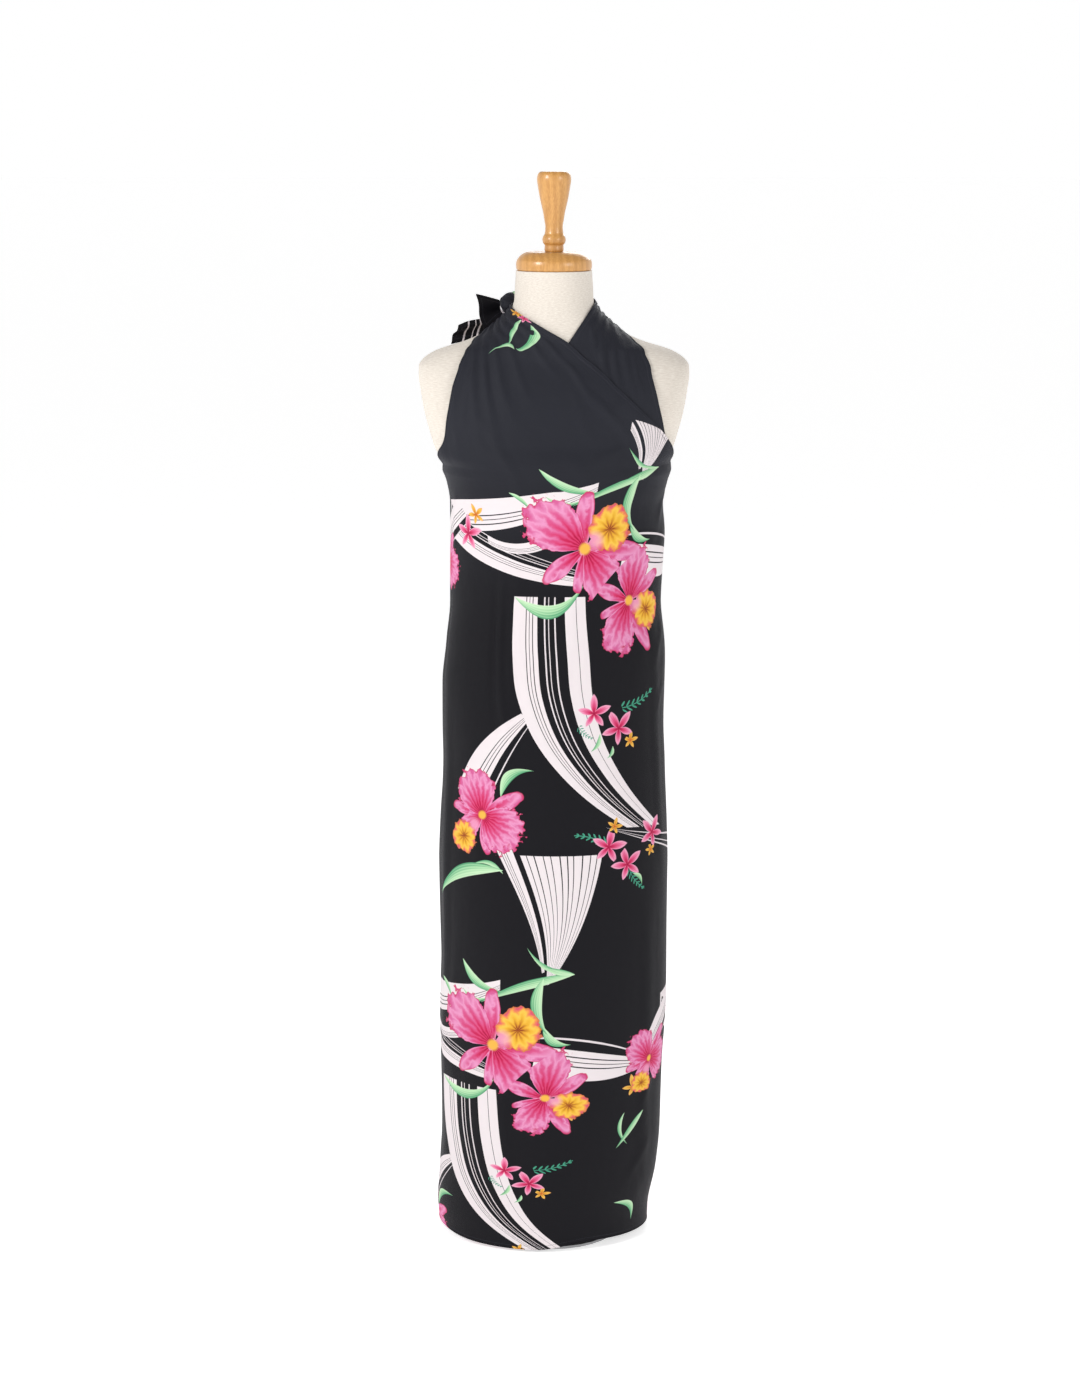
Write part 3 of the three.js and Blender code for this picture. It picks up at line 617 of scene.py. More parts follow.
@dataclass
class Stretch:
    """One stretch of the wound cloth, from its first turn to its last one and up to its halter's end."""

    name: str
    first: float
    last: float
    rows: tuple
    added: float
    columns: int
    skirt_rows: int
    halter_rows: int
    step_out: bool = False
    folds: Profile | None = None
    pulls: Profile | None = None
    free_ends: tuple[int, ...] = ()
    hem_sides: tuple[int, ...] = ()
    open_top: bool = False

    def lift(self, across: np.ndarray, turn: np.ndarray, z: np.ndarray, level: np.ndarray,
             rows_left: np.ndarray) -> np.ndarray:
        """How far the cloth's middle stands off the innermost face.

        Args:
            across: Places across the stretch, 0 to 1.
            turn: Turns in degrees.
            z: Heights.
            level: The layer, 0 inside and 1 outside.
            rows_left: Counts of rows from the halter's end.

        Returns:
            The distances in millimetres.
        """
        folds = skirt_folds(turn, z)
        if self.step_out:
            folds = folds * ease(WRAP_START, WRAP_START + 25, turn)
            folds = folds * (1 - ease(WRAP_END - 15, WRAP_END, turn))
            lift = layer_step(z) * ease(WRAP_START, WRAP_END, turn) + folds
        else:
            lift = layer_step(z) * level
            if self.first >= WRAP_END:
                lift = lift + folds * ease(WRAP_END, WRAP_END + 12, turn)
        if self.folds is not None:
            lift = lift + gathers(self.folds, across, rows_left)
            front = np.sin(np.radians(turn)) > 0
            pulls = pulled_creases(self.pulls, cloth_points(turn, z, np.array(0.0))[..., 0], z)
            lift = lift + np.where(front, pulls, 0.0)
        return lift + fine_creases(turn, z) + WALL / 2

    def grids(self) -> tuple[np.ndarray, np.ndarray, np.ndarray]:
        """The stretch as rows from the hem up.

        Returns:
            The points in metres, their flat coordinates, and each row's count in the halter.
        """
        profile = halter_profile(self.rows, self.added, self.first, self.last)
        skirt = np.linspace(0, SKIRT_ROWS[-1], self.skirt_rows, endpoint=False)
        k = np.linspace(-1, len(self.rows) - 1, self.halter_rows)
        across = np.linspace(0, 1, self.columns + 1)[None, :]
        ends = {name: profile.at(name, k)[:, None] for name in profile.names[1:]}
        turn = np.concatenate([
            np.repeat(lerp(self.first, self.last, across), len(skirt), axis=0),
            lerp(ends["first_turn"], ends["last_turn"], across),
        ])
        hem = HEM.at("height", turn[:1] % 360)
        low = skirt[:, None] + hem * np.clip(1 - skirt[:, None] / HEM_BLEND, 0, None)
        z = np.concatenate([low, lerp(ends["first_z"], ends["last_z"], across)])
        level = np.concatenate([np.full((len(skirt), 1), self.rows[0][6]), ends["level"]])
        count = np.concatenate([np.full(len(skirt), SKIRT_COUNT), k])
        rows_left = (len(self.rows) - 1 - count)[:, None]
        points = cloth_points(turn, z, self.lift(across, turn, z, level, rows_left)) * MM
        smooth = cloth_points(turn, z, layer_step(z) * level) * MM
        return points, self.flat(turn, z, across, count, smooth), count

    def flat(self, turn: np.ndarray, z: np.ndarray, across: np.ndarray, count: np.ndarray,
             smooth: np.ndarray) -> np.ndarray:
        """The flat cloth's coordinates, wider than the drape where the halter is gathered.

        Args:
            turn: Turns in degrees.
            z: Heights.
            across: Places across the stretch, 0 to 1.
            count: Each row's count in the halter, far below 0 on the skirt.
            smooth: The points without folds, in metres.

        Returns:
            Rows by columns of u and v.
        """
        u, v = flat_u(turn), z * MM
        if self.folds is None:
            return np.stack([u, v], axis=-1)
        rows = np.maximum(count, 0)[:, None]
        width = np.linalg.norm(np.diff(smooth, axis=1), axis=2).sum(axis=1)[:, None]
        middle = flat_u((turn[:, :1] + turn[:, -1:]) / 2)
        gathered = middle + (0.5 - across) * width * lerp(1.0, GATHERED, ease(6, len(self.rows) - 1, rows))
        u = lerp(u, gathered, ease(0, 4, rows))
        steps = np.linalg.norm(np.diff(smooth, axis=0), axis=2) * (count[1:, None] > 0)
        start = int(np.argmax(count > 0))
        v = v.copy()
        v[start:] = v[start - 1] + np.cumsum(steps[start - 1:], axis=0)
        return np.stack([u, v], axis=-1)

    def build(self) -> tuple[bpy.types.Object, np.ndarray]:
        """Model the stretch with its rolled hems.

        Returns:
            The cloth, and its flat coordinates.
        """
        points, flat, count = self.grids()
        halter = count > HEMMED_FROM
        lines = [(points[0], flat[0])]
        lines += [(points[:, side], flat[:, side]) for side in self.free_ends]
        lines += [(points[halter][:, side], flat[halter][:, side]) for side in self.hem_sides]
        if self.open_top:
            lines.append((points[-1], flat[-1]))
        return build_sheet(self.name, points, flat, lines), flat


def build_sheet(name: str, points: np.ndarray, flat: np.ndarray,
                hems: list[tuple[np.ndarray, np.ndarray]]) -> bpy.types.Object:
    """A sheet of cloth with its thickness, and a rolled hem along each of its free edges.

    Args:
        name: The sheet's name.
        points: Rows by columns of points, in metres.
        flat: Rows by columns of flat coordinates, in metres.
        hems: For each hem its points and their flat coordinates.

    Returns:
        The sheet with its hems joined to it.
    """
    sheet = grid_object(name, points, flat)
    mark_edges(sheet, [line for line, _ in hems])
    axis = Vector(points.reshape(-1, 3).mean(axis=0) * [0, 0, 1])
    middle = sheet.data.polygons[len(sheet.data.polygons) // 2]
    if middle.normal.dot(middle.center - axis) < 0:
        select_only(sheet)
        with editing():
            bpy.ops.mesh.flip_normals()
    thicken(sheet)
    bpy.ops.object.shade_smooth_by_angle(angle=SOFT_ANGLE)
    rolls = [rolled_edge(f"{name}_hem_{k}", line, uv) for k, (line, uv) in enumerate(hems)]
    select_only(sheet, *rolls)
    bpy.ops.object.join()
    sheet.name = sheet.data.name = name
    return sheet


def stretches() -> list[Stretch]:
    """The three stretches of the wound cloth, from the inside out."""
    return [
        Stretch("cloth_under_front", -20, WRAP_START, UNDER_ROWS, 0, 150, 70, 130, folds=UNDER_GATHERS,
                pulls=UNDER_PULLS, free_ends=(0,), hem_sides=(-1,)),
        Stretch("cloth_back", WRAP_START, WRAP_END, BACK_ROWS, 0, 190, 150, 30, step_out=True,
                open_top=True),
        Stretch("cloth_outer_front", WRAP_END, 560, OUTER_ROWS, 360, 230, 105, 95, folds=OUTER_GATHERS,
                pulls=OUTER_PULLS, free_ends=(-1,), hem_sides=(0,)),
    ]


@dataclass(frozen=True)
class Knot:
    """The knot behind the neck: a rounded lump of crossing folds.

    Its middle is given by a turn, a height and a distance off the innermost cloth, its size by its
    radii along the band, outwards and up, and by the height of its folds.
    """

    turn: float = 220.0
    z: float = 1397.0
    off: float = 18.0
    along: float = 19.0
    out: float = 13.5
    up: float = 16.0
    fold: float = 1.5

    def axes(self) -> tuple[np.ndarray, np.ndarray]:
        """The knot's middle, and its axes along the band, outwards and up, as rows."""
        middle, further = (cloth_points(np.array(self.turn), np.array(self.z), np.array(off))
                           for off in (self.off, self.off + 1))
        level = (further - middle) * [1, 1, 0]
        level /= np.linalg.norm(level)
        return middle, np.array([[-level[1], level[0], 0], level, [0, 0, 1]])

    def strands(self, x: np.ndarray, z: np.ndarray) -> tuple[np.ndarray, np.ndarray]:
        """How far places are from the middles of the two crossing strands, in half widths."""
        return (x + 0.45 * z) / 0.42, (x - 0.75 * z - 0.5) / 0.4

    def reach(self, direction: np.ndarray, margin: float) -> np.ndarray:
        """The knot's size in directions.

        Args:
            direction: Unit vectors along the knot's axes.
            margin: How much the knot is grown, in millimetres.

        Returns:
            The size as a share of the knot's radii.
        """
        first, second = self.strands(direction[..., 0], direction[..., 2])
        wrap = bump(first) + 0.7 * bump(second)
        return 1 + (self.fold * wrap + margin) / self.out

    def inside(self, points: np.ndarray, margin: float) -> np.ndarray:
        """Whether points, in millimetres, are inside the knot grown by a margin."""
        middle, axes = self.axes()
        local = (points - middle) @ axes.T / [self.along, self.out, self.up]
        size = np.linalg.norm(local, axis=-1)
        direction = local / np.maximum(size, 1e-9)[..., None]
        return size < self.reach(direction, margin)

    def build(self) -> bpy.types.Object:
        """Model the knot with the fine pleats of its two crossing strands."""
        bpy.ops.object.select_all(action="DESELECT")
        bpy.ops.mesh.primitive_uv_sphere_add(segments=128, ring_count=80, radius=1.0)
        lump = bpy.context.object
        lump.name = lump.data.name = "cloth_knot"
        place = np.empty(len(lump.data.vertices) * 3)
        lump.data.vertices.foreach_get("co", place)
        direction = place.reshape(-1, 3)
        direction /= np.linalg.norm(direction, axis=1, keepdims=True)
        x, y, z = direction.T
        middle, axes = self.axes()
        first, second = self.strands(x, z)
        over = np.clip(1.4 - np.abs(first) * 1.4, 0, 1)
        upper = np.cos(first * 11 + 1.2 * np.sin(z * 5)) * np.clip(1 - np.abs(first), 0, 1)
        under = np.cos(second * 8 + np.sin(y * 6)) * np.clip(1.3 - np.abs(second), 0, 1)
        pleats = 0.9 * over * upper + (1 - over) * (0.8 * under + 0.5 * np.sin(6 * z + 4 * x))
        seam = -1.3 * np.exp(-((np.abs(first) - 1.02) / 0.09) ** 2) * (np.abs(z) < 0.97)
        size = self.reach(direction, 0.0) + (0.8 * pleats + seam) / self.out
        local = direction * size[:, None] * [self.along, self.out, self.up]
        lump.data.vertices.foreach_set("co", ((local @ axes + middle) * MM).ravel())
        flat = np.stack([-0.05 + 0.036 * np.arctan2(first, 1.4), 1.40 + 0.02 * z + 0.01 * x], axis=-1)
        write_flat(lump.data, flat)
        write_values(lump.data, "edge", np.ones(len(place) // 3))
        write_values(lump.data, "run", np.zeros(len(place) // 3))
        lump.data.update()
        bpy.ops.object.shade_smooth()
        return lump


@dataclass
class NeckBand:
    """A gathered corner of the halter that runs round the neck to the knot."""

    name: str
    rows: Profile
    knot: Knot
    start: tuple[float, float]
    first: float
    last: float
    steps: int
    across: int = 84
    clear: float = 1.4

    def ends(self, share: np.ndarray) -> np.ndarray:
        """For each place across the band, the turn where it meets the knot."""
        turns = np.linspace(self.first, self.last, 500)[:, None]
        low, high = self.rows.at("low", turns), self.rows.at("high", turns)
        points = cloth_points(turns, lerp(low, high, share), np.array(WALL))
        met = self.knot.inside(points, self.clear)
        index = np.where(met.any(axis=0), met.argmax(axis=0), len(turns) - 1)
        for _ in range(len(index)):
            index = np.minimum(index, np.minimum(np.roll(index, 1), np.roll(index, -1)) + 9)
        return turns[index, 0]

    def build(self) -> tuple[bpy.types.Object, np.ndarray]:
        """Model the band.

        Returns:
            The band, and its flat coordinates.
        """
        share = np.linspace(0, 1, self.across + 1)[None, :]
        along = np.linspace(0, 1, self.steps + 1)[:, None]
        turn = self.first + (self.ends(share[0])[None, :] - self.first) * along
        low, high, ridge = (self.rows.at(name, turn) for name in ("low", "high", "ridge"))
        phase = 2 * math.pi * 4 * share + 0.35 * np.sin(along * 5 + share * 9) * np.sin(math.pi * share)
        wave = 0.5 - 0.5 * np.cos(phase)
        pleats = 0.35 * np.sin(2 * math.pi * 11 * share + 3 * np.sin(along * 3.1)) * np.sin(math.pi * share)
        z = lerp(low, high, share)
        points = cloth_points(turn, z, ridge * wave + pleats + WALL / 2) * MM
        length = run_along(points.mean(axis=1))[:, None]
        width = (high - low) * MM * GATHERED
        flat = np.stack(np.broadcast_arrays(
            self.start[0] + (share - 0.5) * width, self.start[1] + length), axis=-1)
        hems = [(points[:, 0], flat[:, 0]), (points[:, -1], flat[:, -1])]
        return build_sheet(self.name, points, flat, hems), flat


@dataclass
class Tail:
    """A free end of the cloth, from the knot outwards."""

    name: str
    stations: Profile
    knot: Knot
    start: tuple[float, float]
    fold: float = 2.6
    steps: int = 70
    across: int = 56
    clear: float = 0.8

    def edges(self, share: np.ndarray) -> tuple[np.ndarray, np.ndarray]:
        """The upper and the lower edge at a share of the tail's length."""
        top, low = (np.stack([self.stations.at(side + axis, share) for axis in "XYZ"], axis=-1)
                    for side in ("top", "low"))
        return top, low

    def surface(self, share: np.ndarray) -> np.ndarray:
        """Points of the tail's middle at shares of its length, rows by columns."""
        across = np.linspace(0, 1, self.across + 1)[:, None]
        top, low = self.edges(share)
        ahead = self.edges(np.minimum(1, share + 0.1))[0] - self.edges(np.maximum(0, share - 0.1))[0]
        face = np.cross(ahead, low - top)
        face /= np.linalg.norm(face, axis=-1, keepdims=True)
        ripple = 0.5 * np.sin(9 * across + 5 * share[..., None]) * np.sin(math.pi * across)
        return lerp(top, low, across) + face * (self.fold * np.sin(2.5 * math.pi * across) + ripple)

    def build(self) -> tuple[bpy.types.Object, np.ndarray]:
        """Model the tail.

        Returns:
            The tail, and its flat coordinates.
        """
        trial = np.linspace(0, 1, 300)
        met = self.knot.inside(self.surface(np.repeat(trial[:, None], self.across + 1, axis=1)), self.clear)
        last = len(trial) - 1 - met[::-1].argmax(axis=0)
        start = trial[np.where(met.any(axis=0), np.minimum(last + 1, len(trial) - 1), 0)]
        share = start[None, :] + (1 - start[None, :]) * np.linspace(0, 1, self.steps + 1)[:, None]
        points = self.surface(share) * MM
        length = run_along(points.mean(axis=1))[:, None]
        top, low = self.edges(share)
        width = np.linalg.norm(low - top, axis=-1) * MM * 1.15
        across = 0.5 - np.linspace(0, 1, self.across + 1)
        flat = np.stack(np.broadcast_arrays(
            self.start[0] + across * width, self.start[1] + length), axis=-1)
        hems = [(points[:, 0], flat[:, 0]), (points[:, -1], flat[:, -1]), (points[-1], flat[-1])]
        return build_sheet(self.name, points, flat, hems), flat


def turned(name: str, profile: tuple, between: int, segments: int = 96) -> bpy.types.Object:
    """A turned piece, its profile spun about the upright axis.

    Args:
        name: The object's name.
        profile: Radius and height of each of its points, from the axis round to the axis.
        between: Points put in between two of them on the rounded part.
        segments: Faces round the piece.

    Returns:
        The object.
    """
    rows = Profile("k r z", [(k, r, z) for k, (r, z) in enumerate(profile)])
    last = len(profile) - 1
    k = np.concatenate([[0], np.linspace(1, last - 1, (last - 2) * between + 1), [last]])
    radii, heights = rows.at("r", k), rows.at("z", k)
    piece = line_object(np.stack([radii, np.zeros(len(k)), heights], axis=-1) * MM)
    piece.name = piece.data.name = name
    with editing():
        bpy.ops.mesh.spin(steps=segments, angle=math.tau, center=(0, 0, 0), axis=(0, 0, 1))
        bpy.ops.mesh.select_all(action="SELECT")
        bpy.ops.mesh.remove_doubles(threshold=1e-5)
        bpy.ops.mesh.normals_make_consistent(inside=False)
    bpy.ops.object.shade_smooth_by_angle(angle=math.radians(35))
    return piece


# Radius and height of each point, from the axis round to the axis
CAP = (
    (0, 1453), (51.5, 1453), (53.2, 1454.2), (54, 1456), (54.5, 1461), (53.6, 1466.5), (50.8, 1471),
    (46.5, 1475.2), (42, 1477.8), (37.5, 1479), (0, 1479),
)
HANDLE = (
    (0, 1479.3), (12.6, 1479.3), (13.7, 1483), (13.4, 1488), (16, 1492), (16.8, 1496.5), (15.6, 1501),
    (13.4, 1505), (12.5, 1514), (14, 1524), (15.6, 1534), (18.2, 1545), (20.6, 1556), (22.8, 1569),
    (24.4, 1580), (23.6, 1586), (21.4, 1590), (18.5, 1591.5), (0, 1591.5),
)


@dataclass
class DressForm:
    """The limbless form inside the dress: linen torso, turned wood and a metal stand."""

    columns: int = 192
    stand: tuple[str, ...] = ("form_pole", "form_base")

    def torso(self) -> bpy.types.Object:
        """Model the linen torso, shoulders and neck, closed at both ends."""
        heights = np.concatenate([np.linspace(640, 1130, 50), np.linspace(1136, 1452.7, 110)])[:, None]
        turns = np.linspace(-90, 270, self.columns + 1)[None, :]
        values = {name: FORM.at(name, heights) for name in FORM.names[1:]}
        points = slice_points(values, turns, heights) * MM
        around = 0.14 * np.radians(turns - 90.0)
        flat = np.stack(np.broadcast_arrays(around, heights * MM), axis=-1)
        torso = grid_object("form_linen", points, flat)
        with editing():
            bpy.ops.mesh.remove_doubles(threshold=1e-6)
            bpy.ops.mesh.fill_holes(sides=0)
            bpy.ops.mesh.select_all(action="SELECT")
            bpy.ops.mesh.normals_make_consistent(inside=False)
        bpy.ops.object.shade_smooth_by_angle(angle=SOFT_ANGLE)
        return torso

    def build(self, looks: dict[str, bpy.types.Material]) -> None:
        """Model the form, dress it and tie each piece to the part.

        Args:
            looks: The materials by their slots' names.
        """
        finish_piece(self.torso(), looks["form_linen"], "form_linen", "form_torso")
        finish_piece(turned("form_cap", CAP, 5), looks["turned_wood"], "turned_wood", "form_neck_cap")
        finish_piece(turned("form_knob", HANDLE, 6), looks["turned_wood"], "turned_wood", "form_handle")
        for name in self.stand:
            node = bpy.data.objects[name]
            node.data.materials.clear()
            node.data.materials.append(looks["stand_metal"])
        LOG.info("form: torso, cap and handle built, stand dressed")


def finish_piece(piece: bpy.types.Object, look: bpy.types.Material, slot: str, *nodes: str) -> None:
    """Give a piece its material and its place in the part.

    Args:
        piece: The object.
        look: Its material.
        slot: Not used.
        nodes: The solids that it stands for.
    """
    piece.data.materials.clear()
    piece.data.materials.append(look)
    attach(piece, "root")
    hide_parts(*nodes)


class Graph:
    """A node tree with short ways to add nodes and link them."""

    MEASURES = ("LENGTH", "DISTANCE", "DOT_PRODUCT")
    MIX_SOCKETS = {"FLOAT": (2, 0), "VECTOR": (4, 1), "RGBA": (6, 2)}

    def __init__(self, tree: bpy.types.NodeTree) -> None:
        """Start on a tree."""
        self.tree = tree

    def node(self, kind: str, **inputs: object) -> bpy.types.Node:
        """Add a node.

        Args:
            kind: The node's type.
            inputs: Sockets by name, and settings after an underscore.

        Returns:
            The node.
        """
        node = self.tree.nodes.new(kind)
        for name in [name for name in inputs if name.startswith("_")]:
            setattr(node, name[1:], inputs.pop(name))
        return self.fill(node, **inputs)

    def fill(self, node: bpy.types.Node, **inputs: Input) -> bpy.types.Node:
        """Link or set a node's sockets by name, with underscores for spaces."""
        for name, value in inputs.items():
            self.put(node.inputs[name.replace("_", " ")], value)
        return node

    def put(self, socket: bpy.types.NodeSocket, value: Input) -> None:
        """Link a socket to an input, or set the input's constant."""
        if isinstance(value, bpy.types.NodeSocket):
            self.tree.links.new(value, socket)
        else:
            socket.default_value = value

    def in_order(self, node: bpy.types.Node, *values: Input) -> bpy.types.Node:
        """Link or set a node's first sockets."""
        for socket, value in zip(node.inputs, values):
            self.put(socket, value)
        return node

    def math(self, operation: str, *values: Input, clamp: bool = False) -> bpy.types.NodeSocket:
        """A math node's result."""
        node = self.node("ShaderNodeMath", _operation=operation, _use_clamp=clamp)
        return self.in_order(node, *values).outputs[0]

    def sine(self, value: Input, factor: float) -> bpy.types.NodeSocket:
        """The sine of a value times a factor."""
        return self.math("SINE", self.math("MULTIPLY", value, factor))

    def vector(self, operation: str, *values: Input) -> bpy.types.NodeSocket:
        """A vector math node's result, a number where the operation measures something."""
        node = self.in_order(self.node("ShaderNodeVectorMath", _operation=operation), *values)
        return node.outputs[1 if operation in self.MEASURES else 0]

    def split(self, vector: Input) -> tuple[bpy.types.NodeSocket, ...]:
        """A vector's x, y and z."""
        return tuple(self.node("ShaderNodeSeparateXYZ", Vector=vector).outputs)

    def remap(self, value: Input, low: float, high: float, to_low: float = 0.0,
              to_high: float = 1.0) -> bpy.types.NodeSocket:
        """A soft step of a value between two limits.

        Args:
            value: The value.
            low: Where the step begins.
            high: Where it ends.
            to_low: The result up to its beginning.
            to_high: The result from its end on.

        Returns:
            The result.
        """
        node = self.node("ShaderNodeMapRange", _interpolation_type="SMOOTHSTEP", Value=value, From_Min=low,
                         From_Max=high, To_Min=to_low, To_Max=to_high)
        return node.outputs[0]

    def mix(self, mask: Input, under: Input, over: Input, kind: str = "RGBA") -> bpy.types.NodeSocket:
        """A colour, or a value of another kind, over another one by a mask.

        Args:
            mask: How much of the upper one shows.
            under: The lower one.
            over: The upper one.
            kind: Both values' kind.

        Returns:
            The result.
        """
        first, result = self.MIX_SOCKETS[kind]
        node = self.node("ShaderNodeMix", _data_type=kind)
        for place, value in ((0, mask), (first, under), (first + 1, over)):
            self.put(node.inputs[place], value)
        return node.outputs[result]

    def uv(self) -> bpy.types.NodeSocket:
        """The piece's own flat coordinates."""
        return self.node("ShaderNodeUVMap", _uv_map="flat").outputs[0]

    def local(self) -> bpy.types.NodeSocket:
        """The piece's object coordinates."""
        return self.node("ShaderNodeTexCoord").outputs["Object"]

    def attribute(self, name: str) -> bpy.types.NodeSocket:
        """A number written for each point of the mesh."""
        return self.node("ShaderNodeAttribute", _attribute_name=name).outputs["Fac"]

    def noise(self, vector: Input, scales: tuple[float, float, float],
              detail: float = 2.0) -> bpy.types.NodeSocket:
        """A smooth noise's value.

        Args:
            vector: The place.
            scales: How fine the noise is along each axis.
            detail: How many finer layers it has.

        Returns:
            The value.
        """
        scaled = self.node("ShaderNodeMapping", Vector=vector, Scale=scales).outputs[0]
        return self.node("ShaderNodeTexNoise", Vector=scaled, Scale=1.0, Detail=detail).outputs[0]

    def weave(self, flat: Input, thread: float) -> bpy.types.NodeSocket:
        """The ups and downs of a plain weave, -1 to 1."""
        u, v, _ = self.split(flat)
        return self.math("MULTIPLY", self.sine(u, math.pi / thread), self.sine(v, math.pi / thread))


def linear(code: str) -> tuple[float, float, float, float]:
    """A colour for a socket from its six-digit screen code."""
    parts = [int(code[k:k + 2], 16) / 255 for k in (0, 2, 4)]
    return (*[c / 12.92 if c <= 0.04045 else ((c + 0.055) / 1.055) ** 2.4 for c in parts], 1.0)


def material(name: str) -> tuple[bpy.types.Material, Graph, bpy.types.Node]:
    """A new material with its graph and its principled shader."""
    look = bpy.data.materials.new(name)
    look.use_nodes = True
    graph = Graph(look.node_tree)
    return look, graph, look.node_tree.nodes["Principled BSDF"]


@dataclass(frozen=True)
class Linen:
    """The form's linen."""

    warp: str = "ebe4da"
    weft: str = "d2c8bc"
    thread: float = 0.00062

    def build(self) -> bpy.types.Material:
        """Make the material: a plain weave with uneven threads."""
        look, g, shader = material("linen")
        weave = g.math("MULTIPLY_ADD", g.weave(g.uv(), self.thread), 0.5, 0.5)
        slub = g.noise(g.uv(), (90, 900, 1), 3.0)
        tone = g.math("MULTIPLY_ADD", slub, 0.8, g.math("MULTIPLY", weave, 0.25))
        color = g.mix(g.remap(tone, 0.3, 0.85), linear(self.weft), linear(self.warp))
        relief = g.node("ShaderNodeBump", Strength=0.35, Distance=0.0003, Height=tone)
        g.fill(shader, Base_Color=color, Roughness=0.92, Sheen_Weight=0.2, Normal=relief.outputs[0])
        return look


@dataclass(frozen=True)
class TurnedWood:
    """The varnished wood of the cap and the handle."""

    light: str = "dba55e"
    dark: str = "b88040"

    def build(self) -> bpy.types.Material:
        """Make the material: rings of grain under a satin varnish."""
        look, g, shader = material("turned wood")
        bent = g.node("ShaderNodeMapping", Vector=g.local(), Scale=(60, 60, 7)).outputs[0]
        rings = g.node("ShaderNodeTexWave", _bands_direction="X", Vector=bent, Scale=0.55, Distortion=5.0,
                       Detail=3.0, Detail_Scale=1.4).outputs[1]
        pores = g.noise(g.local(), (900, 900, 60))
        tone = g.math("MULTIPLY_ADD", rings, 0.17, g.math("MULTIPLY", pores, 0.7))
        color = g.mix(g.remap(tone, 0.1, 0.8), linear(self.dark), linear(self.light))
        g.fill(shader, Base_Color=color, Roughness=g.remap(pores, 0.3, 0.7, 0.3, 0.42), Coat_Weight=0.35,
               Coat_Roughness=0.2)
        return look


@dataclass(frozen=True)
class StandMetal:
    """The brushed steel of the pole and the base."""

    tone: str = "9a9a9c"

    def build(self) -> bpy.types.Material:
        """Make the material: steel with fine turning marks."""
        look, g, shader = material("stand metal")
        marks = g.noise(g.local(), (30, 30, 2200))
        roughness = g.remap(marks, 0.3, 0.7, 0.28, 0.45)
        g.fill(shader, Base_Color=linear(self.tone), Metallic=1.0, Roughness=roughness)
        return look


@dataclass(frozen=True)
class Repeat:
    """How the print repeats on the flat cloth, in metres: sideways, and down with a shift."""

    across: float = 0.52
    down: float = 0.745
    shift: float = 0.13

    @property
    def shear(self) -> float:
        """Sideways shift for each metre of height."""
        return self.shift / self.down

    def straight(self, u: float, v: float) -> tuple[float, float, float]:
        """A place in the coordinates in which the repeat has no shift."""
        return u - self.shear * v, v, 0.0

    def rows(self, angle: float, size_x: float, size_y: float) -> tuple[tuple, tuple]:
        """What takes a step in the straight coordinates to a motif's own x and y.

        Args:
            angle: The motif's turn in radians.
            size_x: The length in metres that is 1 along the motif.
            size_y: The length in metres that is 1 across it.

        Returns:
            A row for x and a row for y.
        """
        c, s = math.cos(angle), math.sin(angle)
        x_row = (c / size_x, (self.shear * c + s) / size_x, 0.0)
        y_row = (-s / size_y, (c - self.shear * s) / size_y, 0.0)
        return x_row, y_row


REPEAT = Repeat()


class Kind(Enum):
    """Types of sockets of the node groups."""

    NUMBER = "NodeSocketFloat"
    VECTOR = "NodeSocketVector"
    COLOR = "NodeSocketColor"


# What a motif's group gives
MOTIF = {"Color": Kind.COLOR, "Mask": Kind.NUMBER}


def new_group(name: str, inputs: dict[str, Kind], outputs: dict[str, Kind]) -> tuple[Graph, dict, object]:
    """A node group with its sockets.

    Args:
        name: The group's name.
        inputs: Kinds of its inputs by name.
        outputs: Kinds of its outputs by name.

    Returns:
        Its graph, its inputs' sockets by name, and its output node.
    """
    tree = bpy.data.node_groups.new(name, "ShaderNodeTree")
    for label, kind in inputs.items():
        tree.interface.new_socket(name=label, in_out="INPUT", socket_type=kind.value)
    for label, kind in outputs.items():
        tree.interface.new_socket(name=label, in_out="OUTPUT", socket_type=kind.value)
    start, end = tree.nodes.new("NodeGroupInput"), tree.nodes.new("NodeGroupOutput")
    return Graph(tree), {label: start.outputs[label] for label in inputs}, end


def use_group(g: Graph, tree: bpy.types.NodeTree, **inputs: Input) -> bpy.types.Node:
    """A group's node in a graph, its inputs linked or set."""
    return g.node("ShaderNodeGroup", _node_tree=tree, **inputs)


def ramp(g: Graph, value: Input, stops: tuple, constant: bool = False) -> bpy.types.NodeSocket:
    """Colours along a value.

    Args:
        g: The graph.
        value: The value's socket.
        stops: Places and screen codes.
        constant: Whether the colours change at once.

    Returns:
        The colour.
    """
    node = g.node("ShaderNodeValToRGB", Fac=value)
    node.color_ramp.interpolation = "CONSTANT" if constant else "LINEAR"
    elements = node.color_ramp.elements
    while len(elements) < len(stops):
        elements.new(0.5)
    for element, (place, code) in zip(elements, stops):
        element.position = place
        element.color = linear(code)
    return node.outputs[0]


def curve(g: Graph, value: Input, points: tuple) -> bpy.types.NodeSocket:
    """A free curve over 0 to 1.

    Args:
        g: The graph.
        value: The place along the curve.
        points: The curve's points.

    Returns:
        The curve's height.
    """
    node = g.node("ShaderNodeFloatCurve", Value=value)
    line = node.mapping.curves[0].points
    while len(line) < len(points):
        line.new(0.5, 0.5)
    for point, (x, y) in zip(line, points):
        point.location = (x, y)
    node.mapping.update()
    return node.outputs[0]


